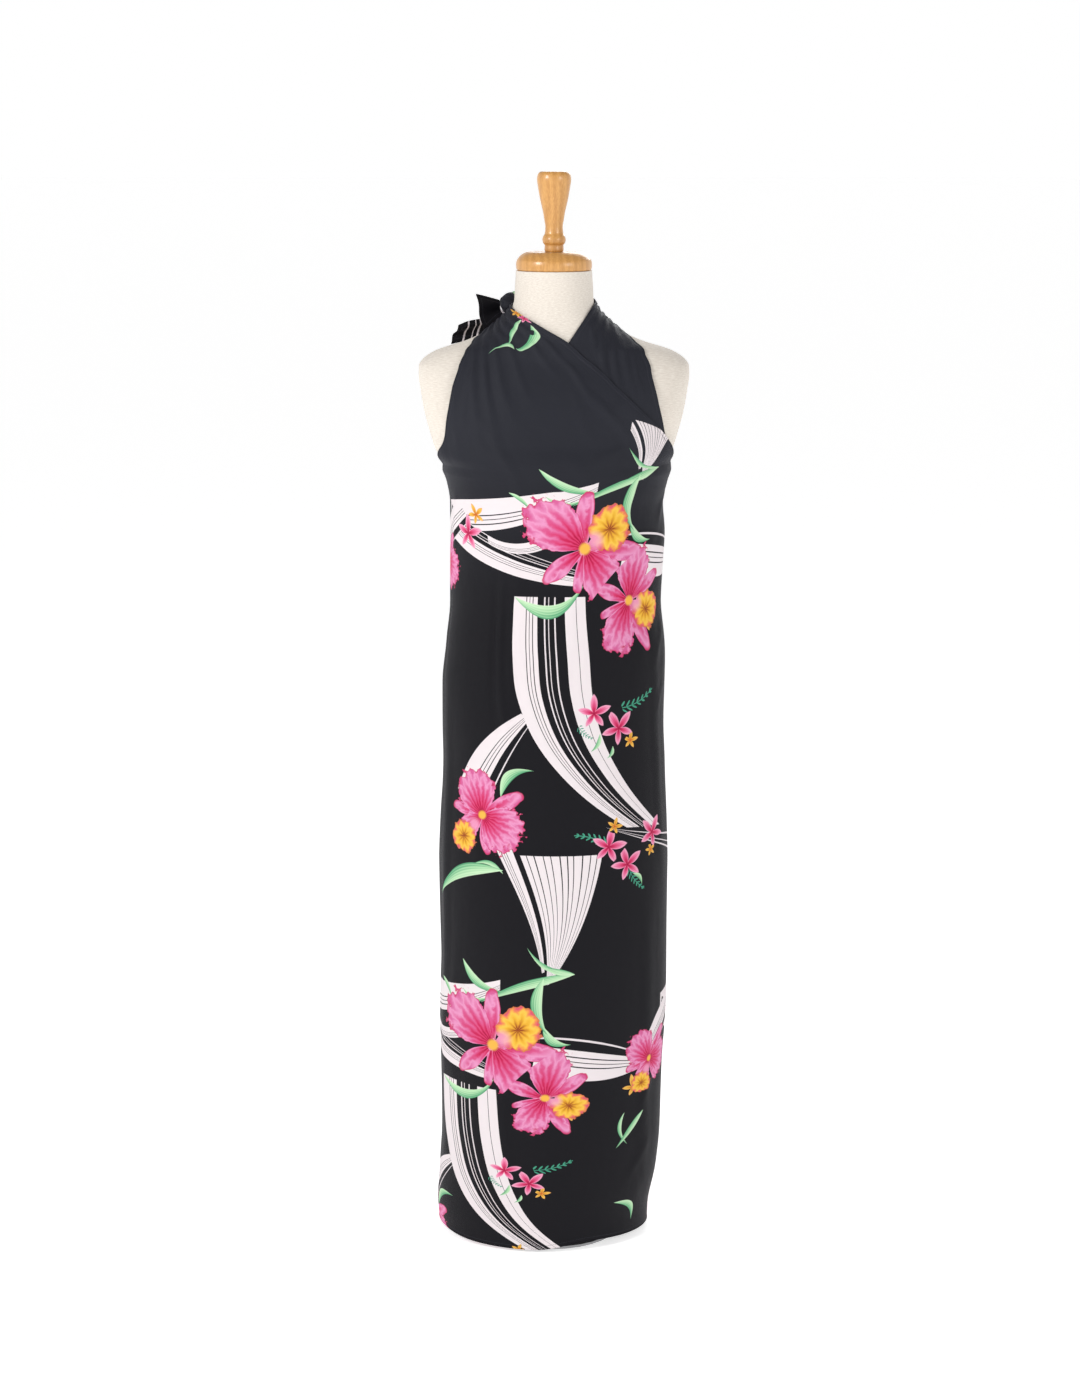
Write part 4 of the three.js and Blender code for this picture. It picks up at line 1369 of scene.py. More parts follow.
def lobes(*petals: tuple[float, float, float], least: float = 0.1, power: float = 2.2) -> tuple:
    """The outline of a flower's layer as radius over turn.

    Args:
        petals: For each its direction in degrees, half width in degrees and length.
        least: The radius between the petals.
        power: How round their tips are; near 1 they are pointed.

    Returns:
        Points from 0 to 1 round the flower.
    """
    turns = np.linspace(-180, 180, 65)
    radius = np.full_like(turns, least)
    for direction, half, length in petals:
        off = np.abs((turns - direction + 180) % 360 - 180) / half
        radius = np.maximum(radius, length * np.clip(1 - off ** power, 0, 1) ** 0.55)
    return tuple((k / 64, float(value)) for k, value in enumerate(radius))


@dataclass(frozen=True)
class Bloom:
    """A large ruffled flower: narrow sepals behind, broad petals, and a yellow lip with a throat."""

    name: str
    sepals: tuple
    petals: tuple
    lip: tuple
    lip_at: tuple[float, float]
    hood: str = "e39abb"
    column: str = "e9b04a"

    PINK = (
        (0.0, "860a2e"), (0.15, "bd1f4c"), (0.34, "cb3a69"), (0.55, "cf588a"), (0.8, "dd92ba"),
        (1.0, "cb5c90"),
    )
    GOLD = (
        (0.0, "7e2a1c"), (0.2, "c07a26"), (0.42, "e0a732"), (0.7, "ecbf4c"), (0.86, "e38a4f"),
        (1.0, "d4506c"),
    )

    def layer(self, g: Graph, place: Input, outline: tuple, stops: tuple, ruffle: float,
              veins: float) -> tuple[bpy.types.NodeSocket, bpy.types.NodeSocket]:
        """One layer of petals.

        Args:
            g: The group's graph.
            place: The vector from the layer's middle.
            outline: Its outline.
            stops: Its colours from the middle outwards.
            ruffle: How far its edge waves.
            veins: How many fine veins run outwards.

        Returns:
            The layer's colour and mask.
        """
        x, y, _ = g.split(place)
        share = g.math("MULTIPLY_ADD", g.math("ARCTAN2", y, x), 0.5 / math.pi, 0.5)
        wave = g.noise(place, (7, 7, 7), 3.0)
        edge = g.math("MULTIPLY_ADD", g.math("SUBTRACT", wave, 0.5), ruffle, curve(g, share, outline))
        along = g.math("DIVIDE", g.vector("LENGTH", place), g.math("MAXIMUM", edge, 0.02))
        vein = g.math("SINE", g.math("MULTIPLY_ADD", share, veins, g.math("MULTIPLY", wave, 7.0)))
        tone = g.math("MULTIPLY_ADD", wave, 0.5, g.math("SUBTRACT", along, 0.25))
        color = ramp(g, g.math("MULTIPLY_ADD", vein, 0.12, tone), stops)
        color = g.mix(g.remap(along, 0.91, 0.98, 0.0, 0.75), color, linear(stops[1][1]))
        return color, g.remap(along, 0.975, 1.0, 1.0, 0.0)

    def build(self) -> bpy.types.NodeTree:
        """Make the flower's node group."""
        g, i, end = new_group(self.name, {"Vector": Kind.VECTOR}, MOTIF)
        place = i["Vector"]
        back, back_mask = self.layer(g, place, lobes(*self.sepals, power=1.15), self.PINK, 0.05, 130.0)
        front, front_mask = self.layer(g, place, lobes(*self.petals), self.PINK, 0.62, 170.0)
        middle = g.vector("SUBTRACT", place, (*self.lip_at, 0.0))
        lip, lip_mask = self.layer(g, middle, lobes(*self.lip, least=0.36), self.GOLD, 0.2, 64.0)
        color = g.mix(lip_mask, g.mix(front_mask, back, front), lip)
        hood = g.vector("DISTANCE", place, (0.38 * self.lip_at[0], 0.42 * self.lip_at[1], 0.0))
        color = g.mix(g.remap(hood, 0.05, 0.2, 0.8, 0.0), color, linear(self.hood))
        column = g.remap(g.vector("LENGTH", place), 0.06, 0.12, 1.0, 0.0)
        mask = g.math("MAXIMUM", g.math("MAXIMUM", back_mask, front_mask), lip_mask)
        g.fill(end, Color=g.mix(column, color, linear(self.column)), Mask=mask)
        return g.tree


ORCHID = Bloom(
    "print_orchid",
    sepals=((92, 22, 1.0), (218, 26, 0.88), (355, 22, 1.14), (262, 18, 0.76)),
    petals=((143, 46, 1.12), (306, 42, 1.06), (25, 36, 0.6)),
    lip=((5, 80, 0.38), (75, 80, 0.42), (150, 80, 0.36), (225, 70, 0.30), (295, 80, 0.36)),
    lip_at=(0.42, 0.29),
)
RUFFLED = Bloom(
    "print_ruffled_bloom",
    sepals=((30, 24, 1.16), (172, 22, 0.94), (280, 22, 0.94)),
    petals=((112, 66, 1.05), (330, 66, 1.06), (220, 46, 0.7)),
    lip=((20, 60, 0.30), (110, 60, 0.34), (200, 60, 0.40), (290, 55, 0.38)),
    lip_at=(-0.5, -0.56),
)


@dataclass(frozen=True)
class SmallMotifs:
    """The star flowers, leaves and ferns, each drawn once and put in many places."""

    petal: tuple = ((0.0, "8f0f35"), (0.3, "c62c5a"), (0.6, "d9608c"), (1.0, "e8a9c2"))
    bud: tuple = ((0.0, "b1402a"), (0.4, "d68d33"), (0.8, "e2b84e"), (1.0, "de9560"))
    green: tuple = ((0.0, "2f7552"), (0.3, "5fa679"), (0.62, "a6d1a4"), (1.0, "c8e2be"))

    def place(self) -> bpy.types.NodeTree:
        """The group that gives a motif's own coordinates, from the straight ones."""
        kinds = {"Vector": Kind.VECTOR, "Middle": Kind.VECTOR, "Row X": Kind.VECTOR, "Row Y": Kind.VECTOR,
                 "Tag": Kind.NUMBER}
        g, i, end = new_group("print_place", kinds, {"Vector": Kind.VECTOR})
        half = (REPEAT.across / 2, REPEAT.down / 2, 1.0)
        step = g.vector("WRAP", g.vector("SUBTRACT", i["Vector"], i["Middle"]), half,
                        tuple(-value for value in half))
        x, y = (g.vector("DOT_PRODUCT", step, i[row]) for row in ("Row X", "Row Y"))
        g.fill(end, Vector=g.node("ShaderNodeCombineXYZ", X=x, Y=y, Z=i["Tag"]).outputs[0])
        return g.tree

    def nearer(self) -> bpy.types.NodeTree:
        """The group that keeps the nearer one of two motifs' coordinates."""
        kinds = {"First": Kind.VECTOR, "Second": Kind.VECTOR}
        g, i, end = new_group("print_nearer", kinds, {"Vector": Kind.VECTOR})
        level = [g.vector("MULTIPLY", i[label], (1.0, 1.0, 0.0)) for label in kinds]
        closer = g.math("LESS_THAN", g.vector("LENGTH", level[1]), g.vector("LENGTH", level[0]))
        g.fill(end, Vector=g.mix(closer, i["First"], i["Second"], "VECTOR"))
        return g.tree

    def star(self) -> bpy.types.NodeTree:
        """A small flower of five narrow petals; a tag of 1 makes it a yellow one."""
        g, i, end = new_group("print_star", {"Vector": Kind.VECTOR}, MOTIF)
        x, y, tag = g.split(i["Vector"])
        turn = g.math("ARCTAN2", y, x)
        far = g.math("SQRT", g.math("ADD", g.math("POWER", x, 2.0), g.math("POWER", y, 2.0)))
        wave = g.math("SUBTRACT", 1.0, g.math("ABSOLUTE", g.sine(turn, 2.5)))
        uneven = g.math("MULTIPLY_ADD", g.math("SINE", g.math("ADD", turn, 0.7)), 0.12, 0.88)
        edge = g.math("MULTIPLY_ADD", g.math("POWER", wave, 0.5), 0.84, 0.16)
        along = g.math("DIVIDE", far, g.math("MULTIPLY", edge, uneven))
        tone = g.math("MULTIPLY_ADD", g.sine(turn, 41.0), 0.06, along)
        color = g.mix(tag, ramp(g, tone, self.petal), ramp(g, tone, self.bud))
        g.fill(end, Color=color, Mask=g.remap(along, 0.93, 1.0, 1.0, 0.0))
        return g.tree

    def leaf(self) -> bpy.types.NodeTree:
        """A slender leaf along x from -1 to 1, its tag the bend."""
        g, i, end = new_group("print_leaf", {"Vector": Kind.VECTOR}, MOTIF)
        x, y, bend = g.split(i["Vector"])
        taper = g.math("SUBTRACT", 1.0, g.math("MULTIPLY", x, x), clamp=True)
        bent = g.math("SUBTRACT", y, g.math("MULTIPLY", taper, bend))
        half = g.math("MULTIPLY", taper, g.math("MULTIPLY_ADD", x, -0.14, 0.36))
        side = g.math("DIVIDE", bent, g.math("MAXIMUM", half, 0.01))
        lines = g.math("SINE", g.math("MULTIPLY_ADD", side, 16.0, g.math("MULTIPLY", x, 2.0)))
        tone = g.math("MULTIPLY_ADD", lines, 0.1, g.math("MULTIPLY_ADD", side, 0.32, 0.55))
        color = ramp(g, g.math("MULTIPLY_ADD", x, -0.16, tone), self.green)
        inside = g.math("LESS_THAN", g.math("ABSOLUTE", x), 0.995)
        mask = g.remap(g.math("ABSOLUTE", side), 0.88, 1.0, 1.0, 0.0)
        g.fill(end, Color=color, Mask=g.math("MULTIPLY", mask, inside))
        return g.tree

    def fern(self) -> bpy.types.NodeTree:
        """A fine sprig along x from -1 to 1, with leaflets on both sides."""
        g, i, end = new_group("print_fern", {"Vector": Kind.VECTOR}, {"Mask": Kind.NUMBER})
        x, y, _ = g.split(i["Vector"])
        bent = g.math("SUBTRACT", y, g.math("MULTIPLY", g.math("MULTIPLY", x, x), 0.5))
        up = g.math("ABSOLUTE", bent)
        cell = g.math("FRACT", g.math("MULTIPLY", g.math("SUBTRACT", x, g.math("MULTIPLY", up, 0.3)), 3.4))
        across = g.math("DIVIDE", g.math("SUBTRACT", cell, 0.5), 0.2)
        length = g.math("MULTIPLY_ADD", x, -0.2, 0.36)
        out = g.math("DIVIDE", g.math("SUBTRACT", up, length), g.math("MULTIPLY", length, 0.85))
        size = g.math("ADD", g.math("MULTIPLY", across, across), g.math("MULTIPLY", out, out))
        drawn = g.math("MAXIMUM", g.math("LESS_THAN", size, 1.0), g.math("LESS_THAN", up, 0.07))
        inside = g.math("LESS_THAN", g.math("ABSOLUTE", x), 0.95)
        g.fill(end, Mask=g.math("MULTIPLY", drawn, inside))
        return g.tree

    def ribbon(self) -> bpy.types.NodeTree:
        """A striped sweep between two curves over x from 0 to 1."""
        kinds = {"Vector": Kind.VECTOR, "Low": Kind.VECTOR, "Low End": Kind.NUMBER, "High": Kind.VECTOR,
                 "High End": Kind.NUMBER}
        g, i, end = new_group("print_ribbon", kinds, {"Side": Kind.NUMBER, "Mask": Kind.NUMBER})
        x, y, _ = g.split(i["Vector"])
        edges = []
        for label in ("Low", "High"):
            value = i[f"{label} End"]
            for term in reversed(g.split(i[label])):
                value = g.math("MULTIPLY_ADD", value, x, term)
            edges.append(value)
        side = g.math("DIVIDE", g.math("SUBTRACT", y, edges[0]), g.math("SUBTRACT", edges[1], edges[0]))
        along = g.math("COMPARE", x, 0.5, 0.5)
        g.fill(end, Side=side, Mask=g.math("MULTIPLY", along, g.math("COMPARE", side, 0.5, 0.5)))
        return g.tree


# Places of the motifs on the flat cloth. Blooms and stars: u, v, turn in degrees, radius, tag
ORCHIDS = ((0.04, 1.07, 0, 0.092, 0), (0.12, 0.99, -60, 0.076, 0))
RUFFLED_BLOOMS = ((-0.11, 0.675, 0, 0.066, 0), (0.16, 0.29, 20, 0.052, 0))
STARS = (
    (0.06, 0.83, 20, 0.03, 0), (0.10, 0.805, 50, 0.033, 0), (0.12, 0.785, 10, 0.016, 1),
    (0.08, 0.63, 5, 0.033, 0), (0.11, 0.60, 35, 0.032, 0), (0.16, 0.64, 60, 0.03, 0),
    (0.09, 0.66, 0, 0.015, 1), (0.155, 0.615, 30, 0.013, 1), (-0.15, 1.085, 15, 0.032, 0),
    (-0.13, 1.115, 40, 0.02, 1), (0.155, 0.96, 70, 0.027, 1), (0.13, 0.25, 30, 0.024, 1),
)
# Leaves and ferns: their root u and v, turn, length, width across, and for leaves the bend
LEAVES = (
    (0.16, 1.185, 200, 0.15, 0.02, -0.4), (-0.015, 1.195, -30, 0.08, 0.02, -0.7),
    (-0.065, 1.155, -45, 0.04, 0.01, 0.4), (0.115, 1.105, -35, 0.05, 0.02, -0.6),
    (0.16, 1.185, 150, 0.08, 0.012, 1.0), (-0.015, 1.15, -5, 0.05, 0.01, -1.2),
    (-0.065, 1.0, 10, 0.11, 0.03, -1.1), (0.115, 1.18, -85, 0.09, 0.025, -0.6),
    (0.16, 1.185, 165, 0.045, 0.008, 0.0), (-0.08, 0.705, 40, 0.065, 0.022, 0.8),
    (0.07, 0.80, -120, 0.03, 0.01, 0.5), (-0.075, 0.595, -155, 0.14, 0.03, -0.7),
    (-0.075, 0.59, 170, 0.05, 0.01, -1.1), (0.12, 0.585, -50, 0.025, 0.01, 0.5),
    (0.15, 0.195, -125, 0.085, 0.015, 0.0), (0.115, 0.20, -85, 0.07, 0.01, -1.2),
    (0.09, 0.78, -120, 0.02, 0.008, 0.5), (0.11, 0.005, -50, 0.065, 0.018, 1.0),
)
FERNS = (
    (0.105, 0.83, 20, 0.065, 0.02), (0.085, 0.635, 160, 0.06, 0.02), (0.11, 0.59, -50, 0.045, 0.016),
    (0.035, 0.81, -40, 0.03, 0.012),
)


@dataclass(frozen=True)
class Ribbon:
    """A striped ribbon on the flat cloth, drawn by one formula.

    It starts at u and v and runs at its turn in degrees. Its middle line bows to one side and curls
    towards its end; its width goes from start to end and is larger by belly halfway. The stripes'
    part says which share of the stripes it shows.
    """

    u: float
    v: float
    turn: float
    length: float
    bow: float
    curl: float
    start: float
    end: float
    belly: float
    part: tuple[float, float]

    def edge(self, side: float) -> tuple[float, float, float, float]:
        """The cubic of one edge over the length's share.

        Args:
            side: -1 for the low edge and 1 for the high one.

        Returns:
            The factors of 1, x, x squared and x cubed.
        """
        half = side / 2
        swell = 4 * (self.bow + half * self.belly)
        return half * self.start, swell + half * (self.end - self.start), -swell, self.curl


# Along the waist, crossing it, lifting from it and at its right; the branch and the broad sweep; beside the
# fan, at its right and, lower down, rising to the right
RIBBONS = (
    Ribbon(-0.205, 1.11, 0, 0.255, 0.005, 0.055, 0.04, 0.015, 0.02, (0.33, 0.0)),
    Ribbon(-0.205, 1.105, -18, 0.26, -0.01, 0.0, 0.04, 0.02, 0.01, (0.0, 0.58)),
    Ribbon(-0.11, 1.08, 5, 0.11, -0.015, 0.0, 0.012, 0.018, 0.0, (0.33, 0.0)),
    Ribbon(0.105, 1.065, -10, 0.16, 0.0, 0.0, 0.055, 0.03, 0.025, (0.05, 0.47)),
    Ribbon(-0.04, 0.825, -125, 0.165, -0.01, 0.0, 0.02, 0.06, 0.01, (0.0, 0.44)),
    Ribbon(-0.01, 1.0, -90, 0.385, 0.0, 0.21, 0.11, 0.04, 0.03, (0.0, 1.0)),
    Ribbon(-0.08, 0.64, -65, 0.205, 0.0, -0.025, 0.024, 0.004, 0.0, (0.33, 0.05)),
    Ribbon(0.075, 0.66, -15, 0.185, 0.0, 0.0, 0.0, 0.055, 0.0, (0.4, 0.7)),
    Ribbon(0.15, 0.30, 42, 0.11, 0.005, 0.0, 0.03, 0.04, 0.005, (0.44, 0.0)),
)
FAN = Ribbon(0.01, 0.62, -90, 0.195, 0.005, -0.02, 0.12, 0.004, 0.0, (0.0, 1.0))
# Stripes across a ribbon: where each begins, and its colour
WHITE, DIM_WHITE, BLACK, LINE = "e0d7d9", "d9d0d3", "111015", "18171d"
BROAD_STRIPES = (
    (0.0, WHITE), (0.17, LINE), (0.18, WHITE), (0.215, LINE), (0.225, WHITE), (0.26, LINE), (0.27, WHITE),
    (0.33, BLACK), (0.42, DIM_WHITE), (0.438, BLACK), (0.48, DIM_WHITE), (0.49, BLACK), (0.56, DIM_WHITE),
    (0.58, BLACK), (0.71, WHITE), (0.86, LINE), (0.87, WHITE),
)
FINE_LINES = (
    (0.07, 0.082), (0.16, 0.175), (0.27, 0.285), (0.36, 0.372), (0.47, 0.485), (0.56, 0.575), (0.64, 0.652),
    (0.75, 0.765), (0.85, 0.862), (0.93, 0.942),
)
FINE_STRIPES = ((0.0, WHITE), *(stop for start, end in FINE_LINES for stop in ((start, LINE), (end, WHITE))))

# Motifs on the plain part by the left shoulder, above this height of the flat cloth
SHOULDER_FROM = 1.33
SHOULDER_LEAVES = (
    (-0.09, 1.51, -85, 0.13, 0.026, -0.6), (-0.05, 1.495, -95, 0.105, 0.042, 0.6),
    (-0.04, 1.48, -100, 0.06, 0.026, 0.8), (-0.06, 1.385, -160, 0.045, 0.014, -0.6),
)
SHOULDER_STARS = ((-0.12, 1.545, 20, 0.046, 1), (-0.08, 1.525, 50, 0.044, 0))


@dataclass(frozen=True)
class FloralPrint:
    """The print: orchids, leaves, small flowers and striped sweeps on a black ground, which turns lighter
    grey up the chest as painted light.

    Below packed_from its motifs stand closer one above the other, by the share packed.
    """

    ground: str = BLACK
    # The ground's lighter grey up the chest: painted light, standing in for the light that falls on the
    # chest
    chest_painted_light: str = "27282f"
    fern_green: str = "43957a"
    packed_from: float = 0.255
    packed: float = 0.35
    leaf_scale: float = 0.95
    fern_scale: float = 0.5
    motifs: SmallMotifs = SmallMotifs()

    def at(self, g: Graph, tree: bpy.types.NodeTree, flat: Input, row: tuple) -> bpy.types.NodeSocket:
        """A motif's own coordinates at a place on the cloth.

        Args:
            g: The print's graph.
            tree: The placing group.
            flat: The straight coordinates.
            row: The motif's u, v, angle in degrees, both sizes and its tag.

        Returns:
            The vector, with the motif's tag in Z.
        """
        u, v, angle, size_x, size_y, tag = row
        row_x, row_y = REPEAT.rows(math.radians(angle), size_x, size_y)
        return use_group(g, tree, Vector=flat, Middle=REPEAT.straight(u, v), Row_X=row_x, Row_Y=row_y,
                         Tag=tag).outputs[0]

    def lengthwise(self, rows: tuple, scale: float) -> list[tuple]:
        """Motifs given by their roots as rows for placing.

        Args:
            rows: For each root u and v, turn, length, width, and for leaves the bend.
            scale: A factor for the widths.

        Returns:
            Rows of middle, turn, both sizes and tag.
        """
        found = []
        for u, v, turn, length, width, *bend in rows:
            angle, half = math.radians(turn), length / 2
            middle = (u + half * math.cos(angle), v + half * math.sin(angle))
            found.append((*middle, turn, half, width * scale, *(bend or [0.0])))
        return found

    def rounded(self, rows: tuple) -> list[tuple]:
        """Motifs given by one size as rows for placing."""
        return [(u, v, turn, size, size, tag) for u, v, turn, size, tag in rows]

    def build(self) -> bpy.types.NodeTree:
        """Make the print's node group."""
        g, i, end = new_group("floral_print", {"Vector": Kind.VECTOR}, {"Color": Kind.COLOR})
        place, nearer = self.motifs.place(), self.motifs.nearer()
        u, v, _ = g.split(i["Vector"])
        low = g.math("MINIMUM", g.math("SUBTRACT", v, self.packed_from), 0.0)
        height = g.math("MULTIPLY_ADD", low, self.packed, v)
        straight = g.math("MULTIPLY_ADD", height, -REPEAT.shear, u)
        flat = g.node("ShaderNodeCombineXYZ", X=straight, Y=height).outputs[0]

        def motif(tree: bpy.types.NodeTree, rows: list[tuple]) -> bpy.types.NodeSocketCollection:
            """The outputs of a motif's group, put at the nearest one of its places."""
            best = None
            for row in rows:
                own = self.at(g, place, flat, row)
                best = own if best is None else use_group(g, nearer, First=best, Second=own).outputs[0]
            return use_group(g, tree, Vector=best).outputs

        # Painted light: the ground turns from black to a lighter grey up the chest, for the light that falls
        # there
        ground = g.mix(g.remap(v, 0.95, 1.3), linear(self.ground), linear(self.chest_painted_light))
        color = self.sweeps(g, place, flat, ground)
        fern = motif(self.motifs.fern(), self.lengthwise(FERNS, self.fern_scale))
        color = g.mix(fern["Mask"], color, linear(self.fern_green))
        leaf, star = self.motifs.leaf(), self.motifs.star()
        layers = [(leaf, self.lengthwise(LEAVES[start::3], self.leaf_scale)) for start in (0, 1, 2)]
        layers += [(star, self.rounded(STARS)), (ORCHID.build(), self.rounded(ORCHIDS)),
                   (RUFFLED.build(), self.rounded(RUFFLED_BLOOMS))]
        for tree, rows in layers:
            drawn = motif(tree, rows)
            color = g.mix(drawn["Mask"], color, drawn["Color"])
        # The plain part above the crossing takes the ground, with its painted light on the chest
        plain = g.math("GREATER_THAN", v, g.remap(u, 0.085, 0.105, 1.236, 1.288))
        color = g.mix(plain, color, ground)
        shoulder = g.math("MULTIPLY", g.math("GREATER_THAN", v, SHOULDER_FROM), g.math("LESS_THAN", u, 0.12))
        for tree, rows in ((leaf, self.lengthwise(SHOULDER_LEAVES, self.leaf_scale)),
                           (star, self.rounded(SHOULDER_STARS))):
            drawn = motif(tree, rows)
            color = g.mix(g.math("MULTIPLY", shoulder, drawn["Mask"]), color, drawn["Color"])
        g.fill(end, Color=color)
        return g.tree

    def sweeps(self, g: Graph, place: bpy.types.NodeTree, flat: Input, color: Input) -> bpy.types.NodeSocket:
        """Lay the striped sweeps, and the fan over them, over a colour.

        Args:
            g: The print's graph.
            place: The placing group.
            flat: The straight coordinates.
            color: The colour below.

        Returns:
            The colour with the stripes.
        """
        tree = self.motifs.ribbon()

        def lay(ribbon: Ribbon) -> tuple[bpy.types.NodeSocket, bpy.types.NodeSocket]:
            """A ribbon's place across the stripes, and its mask."""
            low, high = ribbon.edge(-1), ribbon.edge(1)
            vector = self.at(g, place, flat, (ribbon.u, ribbon.v, ribbon.turn, ribbon.length, 1.0, 0.0))
            node = use_group(g, tree, Vector=vector, Low=low[:3], Low_End=low[3], High=high[:3],
                             High_End=high[3])
            first, last = ribbon.part
            return g.math("MULTIPLY_ADD", node.outputs["Side"], last - first, first), node.outputs["Mask"]

        side, mask = lay(RIBBONS[0])
        for ribbon in RIBBONS[1:]:
            own, own_mask = lay(ribbon)
            side = g.mix(own_mask, side, own, "FLOAT")
            mask = g.math("MAXIMUM", mask, own_mask)
        color = g.mix(mask, color, ramp(g, side, BROAD_STRIPES, constant=True))
        side, mask = lay(FAN)
        return g.mix(mask, color, ramp(g, side, FINE_STRIPES, constant=True))


@dataclass(frozen=True)
class PrintedCloth:
    """The dress's thin printed cloth."""

    thread: float = 0.00036
    stitch: float = 0.0024
    stitch_from_edge: float = 0.0052
    roughness: float = 0.55

    def build(self) -> bpy.types.Material:
        """Make the material: print, weave, sheen and the hems' stitching."""
        look, g, shader = material("printed cloth")
        flat = g.uv()
        edge = g.attribute("edge")
        fold = g.remap(edge, 0.0056, 0.0062, 1.0, 0.0)
        beside_edge = g.math("COMPARE", edge, self.stitch_from_edge, 0.0004)
        dash = g.math("LESS_THAN", g.math("FRACT", g.math("DIVIDE", g.attribute("run"), self.stitch)), 0.62)
        stitches = g.math("MULTIPLY", beside_edge, dash)
        color = use_group(g, FloralPrint().build(), Vector=flat).outputs[0]
        color = g.mix(g.math("MULTIPLY", stitches, 0.55), color, linear("3a3a42"))
        height = g.math("MULTIPLY_ADD", stitches, 0.35, g.noise(flat, (60, 24, 1), 3.0))
        height = g.math("MULTIPLY_ADD", fold, 0.5, height)
        height = g.math("MULTIPLY_ADD", g.weave(flat, self.thread), 0.06, height)
        relief = g.node("ShaderNodeBump", Strength=0.6, Distance=0.0011, Height=height)
        g.fill(shader, Base_Color=color, Normal=relief.outputs[0], Roughness=self.roughness)
        g.fill(shader, Sheen_Weight=0.02, Sheen_Roughness=0.4, Sheen_Tint=linear("b8b4e0"),
               Specular_IOR_Level=0.12)
        return look


@dataclass
class Studio:
    """Camera, light and floor of the picture."""

    place: tuple[float, float, float] = (-0.020, -3.760, 1.642)
    pitch: float = 77.93
    focal: float = 2600.0
    long_side: float = 1382.0

    def build(self) -> None:
        """Set up the camera, three soft lights, the pale world and the floor."""
        bpy.ops.object.camera_add(location=self.place, rotation=(math.radians(self.pitch), 0, 0))
        camera = bpy.context.object
        camera.data.sensor_fit = "VERTICAL"
        camera.data.sensor_height = 36.0
        camera.data.lens = self.focal / self.long_side * 36.0
        bpy.context.scene.camera = camera
        lights = (
            ("key", (-2.3, -1.9, 2.6), 0.9, 52.0), ("fill", (2.3, -2.4, 2.2), 1.2, 24.0),
            ("back", (0.6, 2.4, 2.5), 1.6, 26.0),
        )
        for name, place, size, power in lights:
            aim = (Vector((0, 0, 0.85)) - Vector(place)).to_track_quat("-Z", "Y")
            bpy.ops.object.light_add(type="AREA", location=place, rotation=aim.to_euler())
            lamp = bpy.context.object
            lamp.name = f"light_{name}"
            lamp.data.shape = "DISK"
            lamp.data.size = size
            lamp.data.energy = power
        bpy.ops.mesh.primitive_plane_add(size=200.0)
        floor = bpy.context.object
        floor.name = "floor"
        look, g, shader = material("floor")
        g.fill(shader, Base_Color=(0.95, 0.95, 0.95, 1.0), Roughness=0.9,
               Emission_Color=(1.0, 1.0, 1.0, 1.0), Emission_Strength=0.6)
        floor.data.materials.append(look)
        world = bpy.data.worlds.new("studio")
        bpy.context.scene.world = world
        world.use_nodes = True
        g = Graph(world.node_tree)
        up = g.split(g.node("ShaderNodeTexCoord").outputs["Generated"])[2]
        background = world.node_tree.nodes["Background"]
        background.inputs[0].default_value = (1.0, 1.0, 1.0, 1.0)
        g.put(background.inputs[1], g.remap(up, 0.12, 0.6, 1.0, 0.3))
        bpy.context.scene.view_settings.view_transform = "Standard"


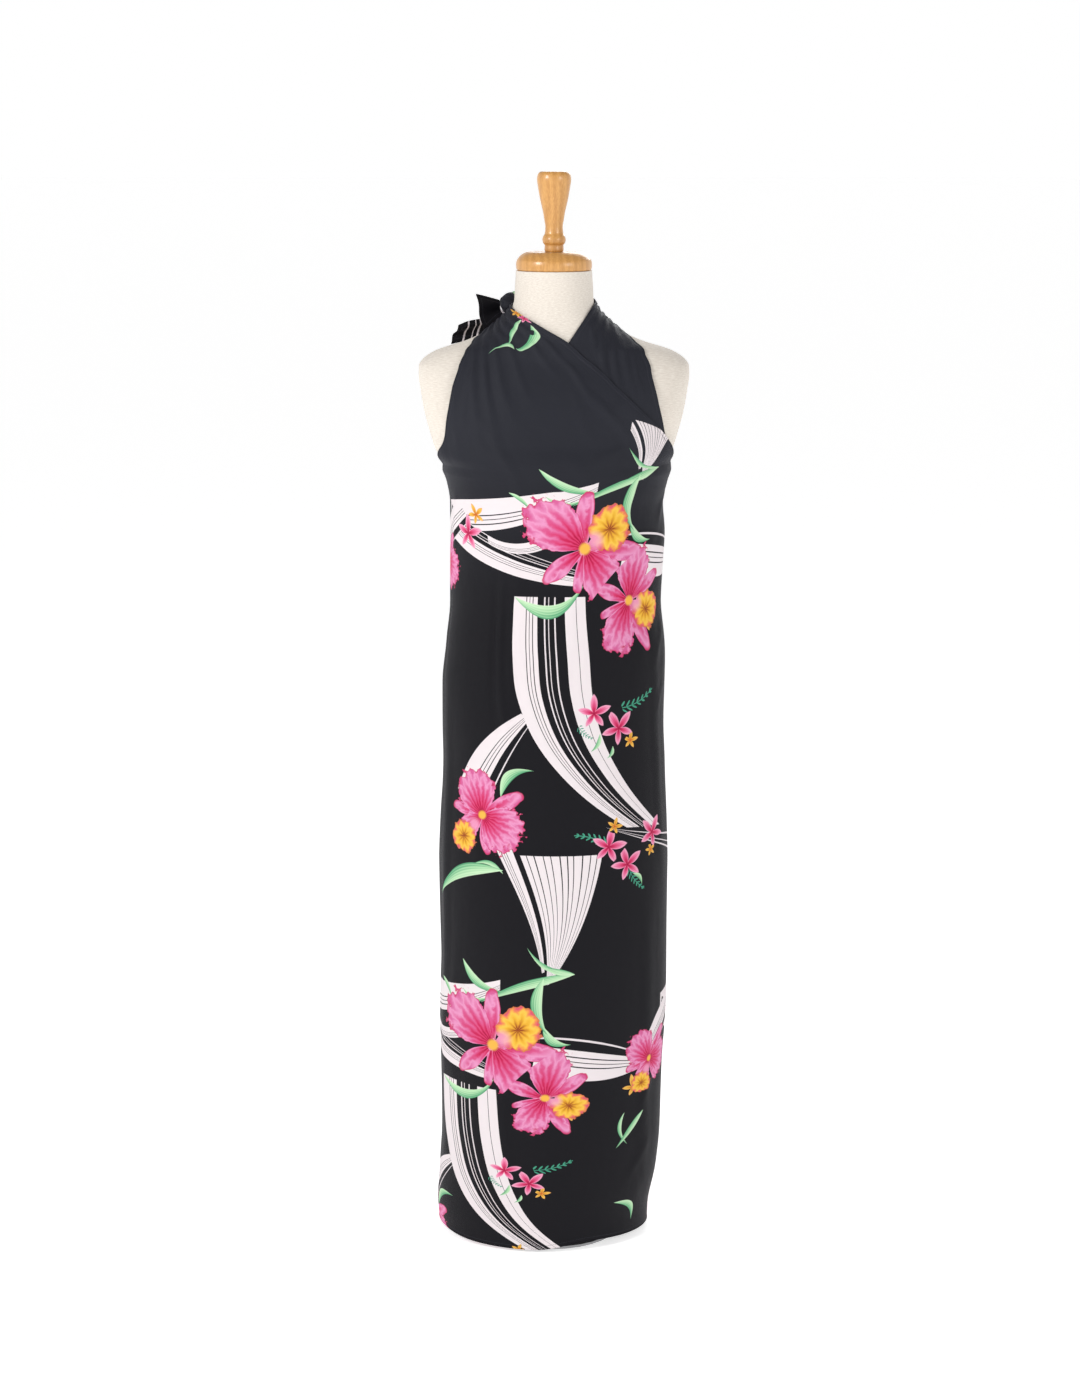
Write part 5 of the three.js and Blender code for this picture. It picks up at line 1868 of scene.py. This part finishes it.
BAND_RIGHT = Profile("turn low high ridge", [
    (-138, 1384, 1404, 2.2), (-115, 1385, 1411, 2.6), (-90, 1385, 1415, 2.8), (-60, 1381, 1415, 2.8),
    (-30, 1374, 1413, 2.6), (-6.5, 1368, 1411, 2.2),
])
BAND_LEFT = Profile("turn low high ridge", [
    (186.4, 1367, 1405, 2.4), (196, 1374, 1405, 2.8), (206, 1380, 1404, 2.6), (216, 1383, 1402, 2.2),
])
TAIL_UPPER = Profile("share topX topY topZ lowX lowY lowZ", [
    (0, -60, 45, 1402, -61, 43, 1390), (0.25, -76, 43, 1407, -78, 38, 1385),
    (0.5, -92, 36, 1412, -90, 31, 1375), (0.75, -104, 30, 1415.5, -97, 27, 1368.5),
    (1, -112, 26, 1417.5, -101, 25, 1365),
])
TAIL_LOWER = Profile("share topX topY topZ lowX lowY lowZ", [
    (0, -62, 50, 1392, -60, 52, 1380), (0.25, -82, 52, 1386, -80, 61, 1368),
    (0.5, -104, 49, 1381, -104, 60, 1358), (0.75, -124, 44, 1377.5, -128, 56, 1351),
    (1, -138, 41, 1372, -150, 52, 1346),
])


@dataclass
class Dress:
    """All the cloth of the dress."""

    knot: Knot = field(default_factory=Knot)
    nodes: tuple[str, ...] = ("under_front", "back_wrap", "outer_front")
    strip: tuple[float, float] = (0.035, 0.072)

    def build(self, look: bpy.types.Material) -> None:
        """Model the cloth and tie its sheets to their solids.

        Args:
            look: The cloth's material.
        """
        corners = {}
        for stretch, node in zip(stretches(), self.nodes):
            cloth, flat = stretch.build()
            corners[node] = tuple(flat[-1].mean(axis=0))
            self.declare(cloth, look, node)
        right, left = corners["under_front"], corners["outer_front"]
        ends = (
            (NeckBand("cloth_band_right", BAND_RIGHT, self.knot, right, -6.0, -138, 150), "neck_band_right"),
            (NeckBand("cloth_band_left", BAND_LEFT, self.knot, left, 186.0, 216, 46), "neck_band_left"),
            (Tail("cloth_tail_upper", TAIL_UPPER, self.knot, (0.215, 0.626)), "tail_upper"),
            (Tail("cloth_tail_lower", TAIL_LOWER, self.knot, (0.205, 0.560)), "tail_lower"),
        )
        for end, node in ends:
            cloth, flat = end.build()
            self.declare(cloth, look, node)
        lump = self.knot.build()
        finish_piece(lump, look, "printed_cloth", "knot")
        LOG.info("dress: %d sheets of cloth built", len(self.nodes) + len(ends) + 1)

    def declare(self, cloth: bpy.types.Object, look: bpy.types.Material, node: str) -> None:
        """Give a sheet its material and tie it to the solid that it stands for.

        Args:
            cloth: The sheet.
            look: Its material.
            node: The solid that it stands for.
        """
        finish_piece(cloth, look, "printed_cloth", node)


def main() -> None:
    """Build the picture's pieces in their order."""
    logging.basicConfig(level=logging.INFO, format="%(name)s: %(message)s")
    looks = {
        "printed_cloth": PrintedCloth().build(), "form_linen": Linen().build(),
        "turned_wood": TurnedWood().build(), "stand_metal": StandMetal().build(),
    }
    DressForm().build(looks)
    Dress().build(looks["printed_cloth"])
    Studio().build()


if __name__ == "__main__":
    main()
